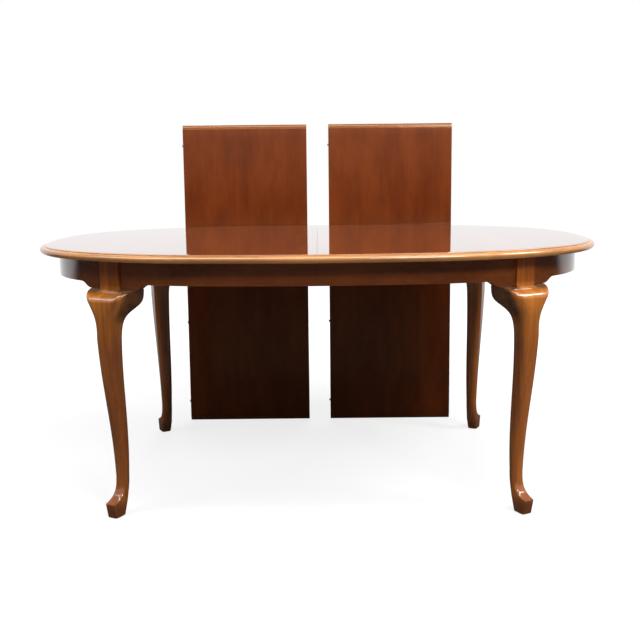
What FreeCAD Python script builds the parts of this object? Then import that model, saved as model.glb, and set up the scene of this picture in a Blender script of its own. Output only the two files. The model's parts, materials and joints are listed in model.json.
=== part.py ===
import FreeCAD, Part
import math
import os

# Oval extension dining table with cabriole legs, shown closed, with its two leaves standing behind it.
# Millimetres. +X runs along the table, +Y away from the viewer, +Z up.
# The origin is on the floor under the middle of the table.

Vector = FreeCAD.Vector

# Top
TOP_LENGTH = 1676.4
TOP_WIDTH = 1117.6
TABLE_HEIGHT = 749.3
TOP_THICKNESS = 22.0
OVAL_FULLNESS = 2.54
ARC_TURN = 30.0
SEAM_GAP = 0.5
BAND_WIDTH = 40.0
QUIRK_INSET = 14.0
QUIRK_DEPTH = 2.5
NOSE_DEPTH = 11.5
UNDERCUT = 9.0

# Alignment dowels in the meeting edges
DOWEL_RADIUS = 4.0
DOWEL_REACH = 4.0
DOWEL_SEAT = 24.0
DOWEL_EDGE_DISTANCE = 74.8
DOWEL_INNER_SHARE = 0.366
DOWEL_HOLE_CLEARANCE = 0.3
DOWEL_HOLE_SPARE = 3.0

# Apron
APRON_INSET = 54.3
APRON_THICKNESS = 20.0
APRON_DEPTH = 64.9
APRON_DIP = 16.4
DIP_LENGTH = 42.0

# Legs: n is measured outwards from the post's face, t along it
LEG_TURN = 28.5
POST_WIDTH = 63.0
POST_DEPTH = 58.0
POST_PROUD = 8.0
EAR_HALF_WIDTH = 76.0
KNEE_LENGTH = 130.0
KNEE_BLOCK_HEIGHT = 66.0
KNEE_CROWN = 30.0
KNEE_CROWN_POWER = 0.62
KNEE_REACH = 40.0
KNEE_TOP_BACKSET = 10.0
KNEE_FRONT_POWER = 2.6
KNEE_FRONT_EDGE = 9.0
KNEE_BACK_EDGE = 3.0
KNEE_EDGE_POWER = 1.5
KNEE_ROUND = 14.0
KNEE_ROUND_POWER = 0.5
KNEE_BACK_REST = 1.0
EAR_DROP = 59.0
EAR_POWER = 5.0
SHANK_TOP_SIDE = 56.2
SHANK_CORNER = 14.5
SHANK_CORNER_LIMIT = 0.9
SWAY_IN = -20.0
SWAY_OUT = 8.0
SWAY_START = 0.05
SWAY_END = 1.03
ANKLE_HEIGHT = 115.0
ANKLE_SIDE = 34.3
TOE_HEIGHT = 44.0
TOE_REACH = 41.0
TOE_HALF_WIDTH = 15.5
TOE_CORNER = 4.0
TOE_SLOPE_LENGTH = 16.0
HEEL_REACH = 21.0
HEEL_HALF_WIDTH = 21.0
HEEL_CORNER = 12.0
SOLE_FRONT = 33.0
SOLE_BACK = -8.0
SOLE_HALF_WIDTH = 16.5
SOLE_CORNER = 6.5
GLIDE_RADIUS = 12.0
GLIDE_THICKNESS = 2.0

# Heights of the sections that shape a leg, as shares of its foot, shank and knee
FOOT_RINGS = (0.0, 0.06, 0.14, 0.25, 0.4, 0.6, 0.8)
SHANK_RINGS = (0.0, 0.1, 0.25, 0.4, 0.55, 0.7, 0.85, 0.95)
KNEE_RINGS = (1.0, 0.9, 0.8, 0.7, 0.6, 0.5, 0.4, 0.3, 0.22, 0.16, 0.11, 0.07, 0.04, 0.015, 0.0)

# Corner blocks and the bolts that hold the legs
CORNER_BLOCK_DEPTH = 32.0
CORNER_BLOCK_HEIGHT = 40.0
CORNER_BLOCK_DROP = 14.0
BOLT_RADIUS = 4.0
BOLT_SPACING = 20.0
BOLT_GRIP = 30.0
BOLT_TAIL = 12.0
BOLT_HOLE_CLEARANCE = 0.5
DRILL_OVERRUN = 1.0
WASHER_RADIUS = 8.5
WASHER_THICKNESS = 1.6
NUT_ACROSS_FLATS = 13.0
NUT_THICKNESS = 6.5
GLUE_BLOCK_LENGTH = 45.0
GLUE_BLOCK_SIDE = 20.0
GLUE_BLOCK_SHARE = 0.4
GLUE_BLOCK_SEAM_DISTANCE = 170.0
GLUE_LINE = 0.1

# Extension slides: a centre member between two runners, one set in front and one behind
LEAF_WIDTH = 457.2
SLIDE_EDGE_DISTANCE = 328.8
SLIDE_THICKNESS = 24.0
SLIDE_HEIGHT = 45.0
SLIDE_CLEARANCE = 0.5
RUNNER_RELIEF = 2.0
RUNNER_END_DISTANCE = 198.2
RUNNER_OVERRUN = 42.8
CENTRE_SETBACK = 80.0
TONGUE_HEIGHT = 10.0
TONGUE_DEPTH = 9.0
TONGUE_DROP = 12.0
TONGUE_CLEARANCE = 0.3
TIE_RAIL_SETBACK = 130.0
TIE_RAIL_WIDTH = 40.0
TIE_RAIL_THICKNESS = 14.0
SCREW_RADIUS = 2.25
SCREW_HEAD_RADIUS = 4.2
SCREW_HEAD_HEIGHT = 3.0
SCREW_BITE = 12.0
SCREW_COUNTERBORE = 14.0
SCREW_CLEARANCE = 0.05
RUNNER_SCREW_COUNT = 4
RUNNER_SCREW_FIRST = 110.0
RUNNER_SCREW_END_DISTANCE = 30.0

# Equaliser gears
MODULE = 2.0
PINION_TEETH = 18
PRESSURE_ANGLE = 20.0
BACKLASH = 0.5
ROOT_CLEARANCE = 0.5
FLANK_STEPS = 5
PINION_THICKNESS = 10.0
PINION_GAP = 1.0
PINION_DROP = 35.0
RACK_BACK = 4.0
RACK_SPARE = 25.0
AXLE_RADIUS = 3.0
AXLE_CLEARANCE = 0.05

# Swing locks under the seam
LOCK_SLIDE_GAP = 21.9
LOCK_SPAN = 56.0
LOCK_PLATE_LENGTH = 40.0
LOCK_PLATE_WIDTH = 30.0
LOCK_PLATE_THICKNESS = 2.5
LOCK_HOOK_THICKNESS = 3.0
LOCK_HOOK_WIDTH = 22.0
LOCK_HOOK_GAP = 0.5
LOCK_STUD_RADIUS = 4.0
LOCK_SLOT_CLEARANCE = 0.6
LOCK_RIVET_HEAD_RADIUS = 7.0
LOCK_RIVET_HEAD_HEIGHT = 2.0

# Leaves standing behind the table
LEAF_GAP = 80.8
LEAF_GAP_PLACE = 3.0
LEAF_TABLE_GAP = 4.2
LEAF_LEAN = 1.4

# Heights and places that follow from the sizes above
UNDERSIDE = TABLE_HEIGHT - TOP_THICKNESS
APRON_BOTTOM = UNDERSIDE - APRON_DEPTH
KNEE_TOP = APRON_BOTTOM - APRON_DIP
APRON_INNER = APRON_INSET + APRON_THICKNESS
SLIDE_TOP = UNDERSIDE - RUNNER_RELIEF
SLIDE_BOTTOM = UNDERSIDE - SLIDE_HEIGHT
RUNNER_NEAR = SLIDE_THICKNESS / 2 + SLIDE_CLEARANCE
RUNNER_FAR = RUNNER_NEAR + SLIDE_THICKNESS
SLIDE_SET_Y = TOP_WIDTH / 2 - SLIDE_EDGE_DISTANCE
RUNNER_OUTER_END = TOP_LENGTH / 2 - RUNNER_END_DISTANCE
RUNNER_INNER_END = LEAF_WIDTH + RUNNER_OVERRUN
CENTRE_HALF_LENGTH = RUNNER_OUTER_END - CENTRE_SETBACK
TIE_RAIL_X = CENTRE_HALF_LENGTH - TIE_RAIL_SETBACK
PITCH_RADIUS = MODULE * PINION_TEETH / 2
PINION_MIDDLE = UNDERSIDE - PINION_DROP
LOCK_HOOK_TOP = UNDERSIDE - LOCK_PLATE_THICKNESS - LOCK_HOOK_GAP
LOCK_HOOK_REACH = LOCK_SPAN + LOCK_STUD_RADIUS + LOCK_SLOT_CLEARANCE + LOCK_HOOK_WIDTH / 2
LOCK_Y = SLIDE_SET_Y + RUNNER_FAR + LOCK_SLIDE_GAP + LOCK_HOOK_REACH
LEAF_FLOOR_Y = TOP_WIDTH / 2 + LEAF_TABLE_GAP
LEAF_PITCH = LEAF_WIDTH + LEAF_GAP
LEAF_CENTRES = (LEAF_GAP_PLACE - LEAF_PITCH / 2, LEAF_GAP_PLACE + LEAF_PITCH / 2)
DOWEL_Z = TABLE_HEIGHT - TOP_THICKNESS / 2
FAR = 2 * max(TOP_LENGTH, TOP_WIDTH, TABLE_HEIGHT)


def box(low, high):
    """Block between two opposite corners."""
    size = [b - a for a, b in zip(low, high)]
    return Part.makeBox(*size, Vector(*low))


def rod(radius, start, end):
    """Round bar between two points."""
    axis = Vector(*end) - Vector(*start)
    return Part.makeCylinder(radius, axis.Length, Vector(*start), axis)


def plate(points, z_low, z_high):
    """Flat piece with a straight-sided outline."""
    corners = [Vector(x, y, z_low) for x, y in points]
    face = Part.Face(Part.makePolygon(corners + corners[:1]))
    return face.extrude(Vector(0, 0, z_high - z_low))


def across(shape):
    """Copy on the other side of the table's long middle plane."""
    return shape.mirror(Vector(0, 0, 0), Vector(0, 1, 0))


def opposite(shape):
    """Copy in the other half of the table."""
    return shape.mirror(Vector(0, 0, 0), Vector(1, 0, 0))


def cosine_fall(value, start, end):
    """1 before start, 0 after end, with a smooth S between them."""
    share = min(1.0, max(0.0, (value - start) / (end - start)))
    return (1 + math.cos(math.pi * share)) / 2


def oval_point(turn):
    """Point of the superellipse whose outward normal is turned by this angle from +X, up to 90 degrees."""
    half_length = TOP_LENGTH / 2
    half_width = TOP_WIDTH / 2
    if turn >= 90:
        return Vector(0, half_width, 0)
    slope = math.tan(math.radians(turn)) * half_width / half_length
    ratio = slope ** (1 / (OVAL_FULLNESS - 1))
    x = (1 + ratio**OVAL_FULLNESS) ** (-1 / OVAL_FULLNESS)
    return Vector(half_length * x, half_width * ratio * x, 0)


def direction(turn):
    """Unit vector in plan at this angle from +X, in degrees."""
    return Vector(math.cos(math.radians(turn)), math.sin(math.radians(turn)), 0)


def oval_arcs():
    """Right half of the oval as tangent arcs: (centre, radius, first turn, last turn), front to rear."""
    arcs = []
    steps = round(90 / ARC_TURN)
    for step in range(steps):
        first = 90.0 * step / steps
        last = 90.0 * (step + 1) / steps
        start = oval_point(first)
        end = oval_point(last)
        leave = direction(first + 90)
        arrive = direction(last + 90)
        chord = end - start
        bend = 2 * (1 - leave.dot(arrive))
        along = chord.dot(leave + arrive)
        reach = (math.sqrt(along**2 + bend * chord.dot(chord)) - along) / bend
        middle = (start + end + (leave - arrive) * reach) * 0.5
        for point, turn in ((start, first), (end, last)):
            span = middle - point
            radius = -span.dot(span) / (2 * direction(turn).dot(span))
            centre = point - direction(turn) * radius
            join = middle - centre
            join_turn = math.degrees(math.atan2(join.y, join.x))
            arcs.append((centre, radius, min(turn, join_turn), max(turn, join_turn)))
    front = [(Vector(c.x, -c.y, 0), r, -last, -first) for c, r, first, last in reversed(arcs)]
    return front + arcs


OVAL = oval_arcs()


def rim_point(turn, inset):
    """Point this far inside the oval's edge, where the edge faces this way."""
    for centre, radius, first, last in OVAL:
        if first <= turn <= last:
            return centre + direction(turn) * (radius - inset)
    raise ValueError("the right half of the oval has no such point")


def rim_turn(y, inset):
    """Angle at which the edge faces where it passes this distance behind the table's middle."""
    for centre, radius, first, last in OVAL:
        share = (y - centre.y) / (radius - inset)
        if abs(share) <= 1 and first <= math.degrees(math.asin(share)) <= last:
            return math.degrees(math.asin(share))
    raise ValueError("the right half of the oval doesn't reach so far")


def rim_edges(inset, z):
    """Edges of the right half of the oval, this far inside its edge."""
    edges = []
    for centre, radius, first, last in OVAL:
        lift = Vector(centre.x, centre.y, z)
        points = [lift + direction(t) * (radius - inset) for t in (first, (first + last) / 2, last)]
        edges.append(Part.Arc(*points).toShape())
    return edges


def half_oval(inset, z_low, z_high):
    """Right half of the oval as a slab, cut back by half the seam's gap."""
    edges = rim_edges(inset, z_low)
    seam = Part.makeLine(edges[-1].Vertexes[-1].Point, edges[0].Vertexes[0].Point)
    slab = Part.Face(Part.Wire(edges + [seam])).extrude(Vector(0, 0, z_high - z_low))
    return slab.common(box((SEAM_GAP / 2, -FAR, -FAR), (FAR, FAR, FAR)))


def half_ring(outer_inset, inner_inset, z_low, z_high):
    """Right half of an oval band between two insets."""
    return half_oval(outer_inset, z_low, z_high).cut(half_oval(inner_inset, z_low, z_high))


def edge_profile(origin, outward):
    """Moulded edge's section: flat, a quirk, a thumbnail nose and an undercut."""

    def at(reach, drop):
        return origin + outward * reach - Vector(0, 0, drop)

    nose = math.sqrt(0.5)
    shoulder = at(-QUIRK_INSET * (1 - nose), QUIRK_DEPTH + (NOSE_DEPTH - QUIRK_DEPTH) * (1 - nose))
    chin = at(-UNDERCUT * (1 - nose), NOSE_DEPTH + (TOP_THICKNESS - NOSE_DEPTH) * nose)
    back_top = at(-BAND_WIDTH, 0)
    back_bottom = at(-BAND_WIDTH, TOP_THICKNESS)
    quirk_top = at(-QUIRK_INSET, 0)
    quirk_bottom = at(-QUIRK_INSET, QUIRK_DEPTH)
    widest = at(0, NOSE_DEPTH)
    under = at(-UNDERCUT, TOP_THICKNESS)
    edges = [
        Part.makeLine(back_bottom, back_top),
        Part.makeLine(back_top, quirk_top),
        Part.makeLine(quirk_top, quirk_bottom),
        Part.Arc(quirk_bottom, shoulder, widest).toShape(),
        Part.Arc(widest, chin, under).toShape(),
        Part.makeLine(under, back_bottom),
    ]
    return Part.Face(Part.Wire(edges))


def make_top_panel():
    return half_oval(BAND_WIDTH, UNDERSIDE, TABLE_HEIGHT)


def make_edge_moulding():
    """Solid band round the right half, turned arc by arc and joined."""
    lengths = []
    for centre, radius, first, last in OVAL:
        start = Vector(centre.x, centre.y, TABLE_HEIGHT) + direction(first) * radius
        section = edge_profile(start, direction(first))
        lengths.append(section.revolve(Vector(centre.x, centre.y, 0), Vector(0, 0, 1), last - first))
    whole = lengths[0].multiFuse(lengths[1:]).removeSplitter()
    return whole.common(box((SEAM_GAP / 2, -FAR, -FAR), (FAR, FAR, FAR)))


def dowel_places():
    outer = TOP_WIDTH / 2 - DOWEL_EDGE_DISTANCE
    inner = outer * DOWEL_INNER_SHARE
    return (-outer, -inner, inner, outer)


def make_seam_dowels():
    """Dowels that stand out of the right half's meeting edge."""
    seam = SEAM_GAP / 2
    return [
        rod(DOWEL_RADIUS, (seam + DOWEL_SEAT, y, DOWEL_Z), (seam - DOWEL_REACH, y, DOWEL_Z))
        for y in dowel_places()
    ]


def seat_dowels(panel):
    """Right panel with the holes its dowels are glued into."""
    start = SEAM_GAP / 2
    seats = [
        rod(DOWEL_RADIUS, (start, y, DOWEL_Z), (start + DOWEL_SEAT, y, DOWEL_Z)) for y in dowel_places()
    ]
    return panel.cut(seats)


def drill_dowel_holes(panel):
    """Left panel with the holes that take the dowels."""
    depth = DOWEL_REACH + DOWEL_HOLE_SPARE
    radius = DOWEL_RADIUS + DOWEL_HOLE_CLEARANCE
    holes = [rod(radius, (0, y, DOWEL_Z), (-depth, y, DOWEL_Z)) for y in dowel_places()]
    return panel.cut(holes)


LEG_FACE = rim_point(LEG_TURN - 90, APRON_INSET - POST_PROUD)


def at_leg(shape):
    """Moves a shape from the leg's own frame, x along the post's face and y inwards, to the front right leg."""
    moved = shape.copy()
    moved.rotate(Vector(0, 0, 0), Vector(0, 0, 1), LEG_TURN)
    moved.translate(LEG_FACE)
    return moved


def leg_block(t_half, n_low, n_high, z_low, z_high):
    """Block centred on the front right leg, between two distances outwards from the post's face."""
    return at_leg(box((-t_half, -n_high, z_low), (t_half, -n_low, z_high)))


def make_apron():
    """Apron of the right half, dipping to the knees, in three lengths: (end, front side, rear side)."""
    straight = half_ring(APRON_INSET, APRON_INNER, APRON_BOTTOM, UNDERSIDE)
    dip_band = half_ring(APRON_INSET, APRON_INNER, KNEE_TOP, APRON_BOTTOM)
    dip = at_leg(dip_outline())
    whole = straight.fuse([dip_band.common(dip), dip_band.common(across(dip))]).removeSplitter()
    slot = leg_block(POST_WIDTH / 2, -POST_DEPTH, POST_DEPTH, 0, TABLE_HEIGHT)
    lengths = whole.cut([slot, across(slot)]).Solids
    end = max(lengths, key=lambda s: s.CenterOfMass.x)
    front = min(lengths, key=lambda s: s.CenterOfMass.y)
    rear = max(lengths, key=lambda s: s.CenterOfMass.y)
    return end, front, rear


def dip_outline():
    """Prism whose lower side swells down to the knee's top through an S on each side."""
    near = EAR_HALF_WIDTH
    far = EAR_HALF_WIDTH + DIP_LENGTH
    depth = APRON_INSET + APRON_THICKNESS + TOP_THICKNESS
    radius = (DIP_LENGTH**2 / 4 + APRON_DIP**2 / 4) / APRON_DIP
    half_turn = math.asin(DIP_LENGTH / 2 / radius) / 2
    side = radius * math.sin(half_turn)
    rise = radius * (1 - math.cos(half_turn))

    def at(t, z):
        return Vector(t, -depth, z)

    def s_curve(sign):
        middle = at(sign * (near + far) / 2, KNEE_TOP + APRON_DIP / 2)
        low = Part.Arc(at(sign * near, KNEE_TOP), at(sign * (near + side), KNEE_TOP + rise), middle)
        high = Part.Arc(middle, at(sign * (far - side), APRON_BOTTOM - rise), at(sign * far, APRON_BOTTOM))
        return [low.toShape(), high.toShape()]

    top = Part.makeLine(at(far, APRON_BOTTOM), at(-far, APRON_BOTTOM))
    bottom = Part.makeLine(at(-near, KNEE_TOP), at(near, KNEE_TOP))
    wire = Part.Wire(Part.__sortEdges__([*s_curve(1), top, *s_curve(-1), bottom]))
    return Part.Face(wire).extrude(Vector(0, 2 * depth, 0))


def leg_ring(z, back, front, back_half, front_half, back_corner, front_corner):
    """Closed section of the leg at one height: a trapezium with rounded corners."""
    corners = [
        (Vector(-back_half, -back, z), back_corner),
        (Vector(-front_half, -front, z), front_corner),
        (Vector(front_half, -front, z), front_corner),
        (Vector(back_half, -back, z), back_corner),
    ]
    rounds = []
    for index, (corner, radius) in enumerate(corners):
        before = (corners[index - 1][0] - corner).normalize()
        after = (corners[(index + 1) % 4][0] - corner).normalize()
        half_angle = before.getAngle(after) / 2
        cut_back = radius / math.tan(half_angle)
        bisector = (before + after).normalize()
        crest = corner + bisector * (radius / math.sin(half_angle) - radius)
        rounds.append((corner + before * cut_back, crest, corner + after * cut_back))
    edges = []
    for index, (start, crest, end) in enumerate(rounds):
        edges.append(Part.Arc(start, crest, end).toShape())
        edges.append(Part.makeLine(end, rounds[(index + 1) % 4][0]))
    return Part.Wire(edges)


def shank_section(z):
    """Back, front, half widths and corner radius of the tapering, swaying shank."""
    low = ANKLE_HEIGHT
    high = KNEE_TOP - KNEE_LENGTH
    share = (z - low) / (high - low)
    half = (ANKLE_SIDE + (SHANK_TOP_SIDE - ANKLE_SIDE) * share) / 2
    middle = SWAY_OUT + (SWAY_IN - SWAY_OUT) * cosine_fall(share, SWAY_START, SWAY_END)
    corner = min(SHANK_CORNER, SHANK_CORNER_LIMIT * half)
    return middle - half, middle + half, half, half, corner, corner


def ear_sweep(depth):
    """How far the ears still spread this far below the knee's top, from 1 at the top to 0 at its bottom."""

    def fall(level):
        return 1 / (1 + (level / EAR_DROP) ** EAR_POWER)

    rest = fall(KNEE_LENGTH)
    return (fall(depth) - rest) / (1 - rest)


def knee_section(depth):
    """Section this far below the knee's top: the crown rolls out from the apron and the ears sweep in."""
    back, front, half, _, corner, _ = shank_section(KNEE_TOP - KNEE_LENGTH)
    share = depth / KNEE_LENGTH
    crown = max(0.0, 1 - depth / KNEE_CROWN)
    if crown > 0:
        reach = (KNEE_REACH + KNEE_TOP_BACKSET) * (1 - crown**2) ** KNEE_CROWN_POWER - KNEE_TOP_BACKSET
    else:
        reach = front + (KNEE_REACH - front) * cosine_fall(depth, KNEE_CROWN, KNEE_LENGTH)
    knee_back = back + (KNEE_BACK_REST - POST_DEPTH - back) * ear_sweep(depth)
    back_half = half + (EAR_HALF_WIDTH - half) * ear_sweep(depth)
    front_half = half + (EAR_HALF_WIDTH - half) * (1 - share) ** KNEE_FRONT_POWER
    front_corner = KNEE_FRONT_EDGE + (corner - KNEE_FRONT_EDGE) * share**KNEE_EDGE_POWER
    front_corner += KNEE_ROUND * math.sin(math.pi * share**KNEE_ROUND_POWER)
    back_corner = KNEE_BACK_EDGE + (corner - KNEE_BACK_EDGE) * share
    return knee_back, reach, back_half, front_half, back_corner, front_corner


def foot_section(z):
    """Section between the toe's ridge and the ankle: the instep falls away to a squared toe."""
    back, front, half, _, corner, _ = shank_section(ANKLE_HEIGHT)
    share = (z - TOE_HEIGHT) / (ANKLE_HEIGHT - TOE_HEIGHT)
    fade = (1 - share) ** 2
    instep = front + (TOE_REACH - front) * (math.exp(-(z - TOE_HEIGHT) / TOE_SLOPE_LENGTH) * (1 - share))
    heel = back + (-HEEL_REACH - back) * fade
    heel_half = half + (HEEL_HALF_WIDTH - half) * fade
    toe_half = half + (TOE_HALF_WIDTH - half) * fade
    heel_corner = corner + (HEEL_CORNER - corner) * fade
    toe_corner = corner + (TOE_CORNER - corner) * fade
    return heel, instep, heel_half, toe_half, heel_corner, toe_corner


def leg_rings():
    """Sections from the toe's ridge to the knee's top."""
    knee_bottom = KNEE_TOP - KNEE_LENGTH
    rings = []
    for share in FOOT_RINGS:
        z = TOE_HEIGHT + (ANKLE_HEIGHT - TOE_HEIGHT) * share
        rings.append(leg_ring(z, *foot_section(z)))
    for share in SHANK_RINGS:
        z = ANKLE_HEIGHT + (knee_bottom - ANKLE_HEIGHT) * share
        rings.append(leg_ring(z, *shank_section(z)))
    for share in KNEE_RINGS:
        depth = KNEE_LENGTH * share
        rings.append(leg_ring(KNEE_TOP - depth, *knee_section(depth)))
    return rings


def make_leg():
    """Front right leg and its two knee blocks: (leg, blocks)."""
    rings = leg_rings()
    sole = leg_ring(
        GLIDE_THICKNESS, SOLE_BACK, SOLE_FRONT, SOLE_HALF_WIDTH, SOLE_HALF_WIDTH, SOLE_CORNER, SOLE_CORNER
    )
    foot = Part.makeLoft([sole, rings[0]], True, True)
    shank = Part.makeLoft(rings, True, False)
    post = box((-POST_WIDTH / 2, 0, KNEE_TOP - KNEE_CROWN / 2), (POST_WIDTH / 2, POST_DEPTH, UNDERSIDE))
    blank = foot.fuse([shank, post])
    beside = box((POST_WIDTH / 2, -FAR, KNEE_TOP - KNEE_BLOCK_HEIGHT), (FAR, FAR, FAR))
    sides = (beside, opposite(beside))
    leg = blank.cut(list(sides))
    blocks = [at_leg(shank.common(side)) for side in sides]
    return drill_post(at_leg(leg)), blocks


def bolt_heights():
    middle = UNDERSIDE - CORNER_BLOCK_DROP - CORNER_BLOCK_HEIGHT / 2
    return (middle - BOLT_SPACING / 2, middle + BOLT_SPACING / 2)


def bolt_rods(radius, n_start, n_end):
    """Round bars on the front right leg's bolt lines."""
    return [at_leg(rod(radius, (0, -n_start, z), (0, -n_end, z))) for z in bolt_heights()]


def drill_post(leg):
    return leg.cut(bolt_rods(BOLT_RADIUS, BOLT_GRIP - POST_DEPTH, -POST_DEPTH - DRILL_OVERRUN))


def make_corner_block():
    """Block that spans from apron to apron behind the front right post."""
    top = UNDERSIDE - CORNER_BLOCK_DROP
    inside = half_oval(APRON_INNER + GLUE_LINE, top - CORNER_BLOCK_HEIGHT, top)
    band = leg_block(FAR, -POST_DEPTH - CORNER_BLOCK_DEPTH, -POST_DEPTH, 0, TABLE_HEIGHT)
    near = box((SEAM_GAP, -FAR, 0), (FAR, 0, FAR))
    block = inside.common(band).common(near)
    back = -POST_DEPTH - CORNER_BLOCK_DEPTH
    radius = BOLT_RADIUS + BOLT_HOLE_CLEARANCE
    return block.cut(bolt_rods(radius, DRILL_OVERRUN - POST_DEPTH, back - DRILL_OVERRUN))


def make_bolts():
    tail = CORNER_BLOCK_DEPTH + WASHER_THICKNESS + BOLT_TAIL
    return bolt_rods(BOLT_RADIUS, BOLT_GRIP - POST_DEPTH, -POST_DEPTH - tail)


def make_washers():
    face = -POST_DEPTH - CORNER_BLOCK_DEPTH
    discs = bolt_rods(WASHER_RADIUS, face, face - WASHER_THICKNESS)
    radius = BOLT_RADIUS + BOLT_HOLE_CLEARANCE
    holes = bolt_rods(radius, face + DRILL_OVERRUN, face - WASHER_THICKNESS - DRILL_OVERRUN)
    return [disc.cut(hole) for disc, hole in zip(discs, holes)]


def make_nuts():
    """Hexagon nuts on the bolts' tails."""
    face = POST_DEPTH + CORNER_BLOCK_DEPTH + WASHER_THICKNESS
    corner = NUT_ACROSS_FLATS / math.sqrt(3)
    nuts = []
    for z in bolt_heights():
        points = [direction(60 * k) * corner for k in range(6)]
        ring = [Vector(p.x, face, z + p.y) for p in points]
        hexagon = Part.Face(Part.makePolygon(ring + ring[:1])).extrude(Vector(0, NUT_THICKNESS, 0))
        bore = rod(BOLT_RADIUS, (0, face, z), (0, face + NUT_THICKNESS, z))
        nuts.append(at_leg(hexagon.cut(bore)))
    return nuts


def make_glue_blocks():
    """Blocks in the angle between the right half's apron and top."""
    inside = half_oval(APRON_INNER + GLUE_LINE, UNDERSIDE - GLUE_BLOCK_SIDE, UNDERSIDE)
    half = GLUE_BLOCK_LENGTH / 2
    blocks = []
    beside = LEG_FACE.y * GLUE_BLOCK_SHARE
    for y in (beside, 0.0, -beside):
        turn = rim_turn(y, APRON_INNER)
        face = rim_point(turn, APRON_INNER)
        cutter = box((-GLUE_BLOCK_SIDE, -half, 0), (GLUE_BLOCK_SIDE, half, TABLE_HEIGHT))
        cutter.rotate(Vector(0, 0, 0), Vector(0, 0, 1), turn)
        cutter.translate(face)
        blocks.append(inside.common(cutter))
    low = GLUE_BLOCK_SEAM_DISTANCE - half
    inner = TOP_WIDTH / 2 - APRON_INNER - GLUE_BLOCK_SIDE
    side = inside.common(box((low, inner, 0), (low + GLUE_BLOCK_LENGTH, FAR, TABLE_HEIGHT)))
    return [*blocks, side, across(side)]


def make_glide():
    middle = (SOLE_FRONT + SOLE_BACK) / 2
    return at_leg(rod(GLIDE_RADIUS, (0, -middle, 0), (0, -middle, GLIDE_THICKNESS)))


def tongue_levels(clearance):
    """Lowest and highest level of the slides' tongue, or of its groove."""
    top = SLIDE_TOP - TONGUE_DROP + clearance
    return top - TONGUE_HEIGHT - 2 * clearance, top


def pinion_levels(gap):
    half = PINION_THICKNESS / 2 + gap
    return PINION_MIDDLE - half, PINION_MIDDLE + half


def make_runner(outside):
    """Rear right runner. Outside is 1 where it lies outside its centre member, and -1 inside."""

    def level(x_low, x_high, near, far, z_low, z_high):
        sides = sorted((SLIDE_SET_Y + outside * near, SLIDE_SET_Y + outside * far))
        return box((x_low, sides[0], z_low), (x_high, sides[1], z_high))

    body = level(-RUNNER_INNER_END, RUNNER_OUTER_END, RUNNER_NEAR, RUNNER_FAR, SLIDE_BOTTOM, UNDERSIDE)
    relief = level(-FAR, SEAM_GAP, 0, FAR, SLIDE_TOP, UNDERSIDE)
    groove_low, groove_high = tongue_levels(TONGUE_CLEARANCE)
    groove_depth = SLIDE_THICKNESS / 2 + TONGUE_DEPTH + TONGUE_CLEARANCE
    groove = level(-FAR, FAR, 0, groove_depth, groove_low, groove_high)
    rack_low, rack_high = pinion_levels(PINION_GAP)
    rack_bed = level(-FAR, PITCH_RADIUS + RACK_SPARE, 0, rack_back(), rack_low, rack_high)
    runner = body.cut([relief, groove, rack_bed])
    drills = []
    for x in runner_screw_places():
        y = SLIDE_SET_Y + outside * screw_offset()
        drills.append(rod(SCREW_RADIUS + SCREW_CLEARANCE, (x, y, SLIDE_BOTTOM), (x, y, TABLE_HEIGHT)))
        head_seat = SLIDE_BOTTOM + SCREW_COUNTERBORE
        drills.append(rod(SCREW_HEAD_RADIUS + BOLT_HOLE_CLEARANCE, (x, y, 0), (x, y, head_seat)))
    return runner.cut(drills)


def runner_screw_places():
    """Evenly spaced distances of a runner's screws from the seam."""
    last = RUNNER_OUTER_END - RUNNER_SCREW_END_DISTANCE
    step = (last - RUNNER_SCREW_FIRST) / (RUNNER_SCREW_COUNT - 1)
    return [RUNNER_SCREW_FIRST + step * index for index in range(RUNNER_SCREW_COUNT)]


def screw_offset():
    """Distance of a runner's screws from the middle of its slide set."""
    groove_depth = SLIDE_THICKNESS / 2 + TONGUE_DEPTH + TONGUE_CLEARANCE
    return (groove_depth + RUNNER_FAR) / 2


def make_screw(x, y, head_low, tip):
    """Pan-headed screw driven upwards."""
    head = rod(SCREW_HEAD_RADIUS, (x, y, head_low), (x, y, head_low + SCREW_HEAD_HEIGHT))
    shank = rod(SCREW_RADIUS, (x, y, head_low), (x, y, tip))
    return head.fuse(shank).removeSplitter()


def make_runner_screws(outside):
    """Screws that hold the rear right runner to the top."""
    head_low = SLIDE_BOTTOM + SCREW_COUNTERBORE - SCREW_HEAD_HEIGHT
    y = SLIDE_SET_Y + outside * screw_offset()
    return [make_screw(x, y, head_low, UNDERSIDE + SCREW_BITE) for x in runner_screw_places()]


def drill_for_screws(panel, outside):
    """Right panel with pilot holes for both of its runners' screws."""
    pilots = []
    for x in runner_screw_places():
        y = SLIDE_SET_Y + outside * screw_offset()
        pilot = rod(SCREW_RADIUS + SCREW_CLEARANCE, (x, y, UNDERSIDE), (x, y, UNDERSIDE + SCREW_BITE))
        pilots += [pilot, across(pilot)]
    return panel.cut(pilots)


def rack_back():
    """Distance of a rack's back from the middle of its slide set."""
    return PITCH_RADIUS + MODULE + ROOT_CLEARANCE + RACK_BACK


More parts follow.
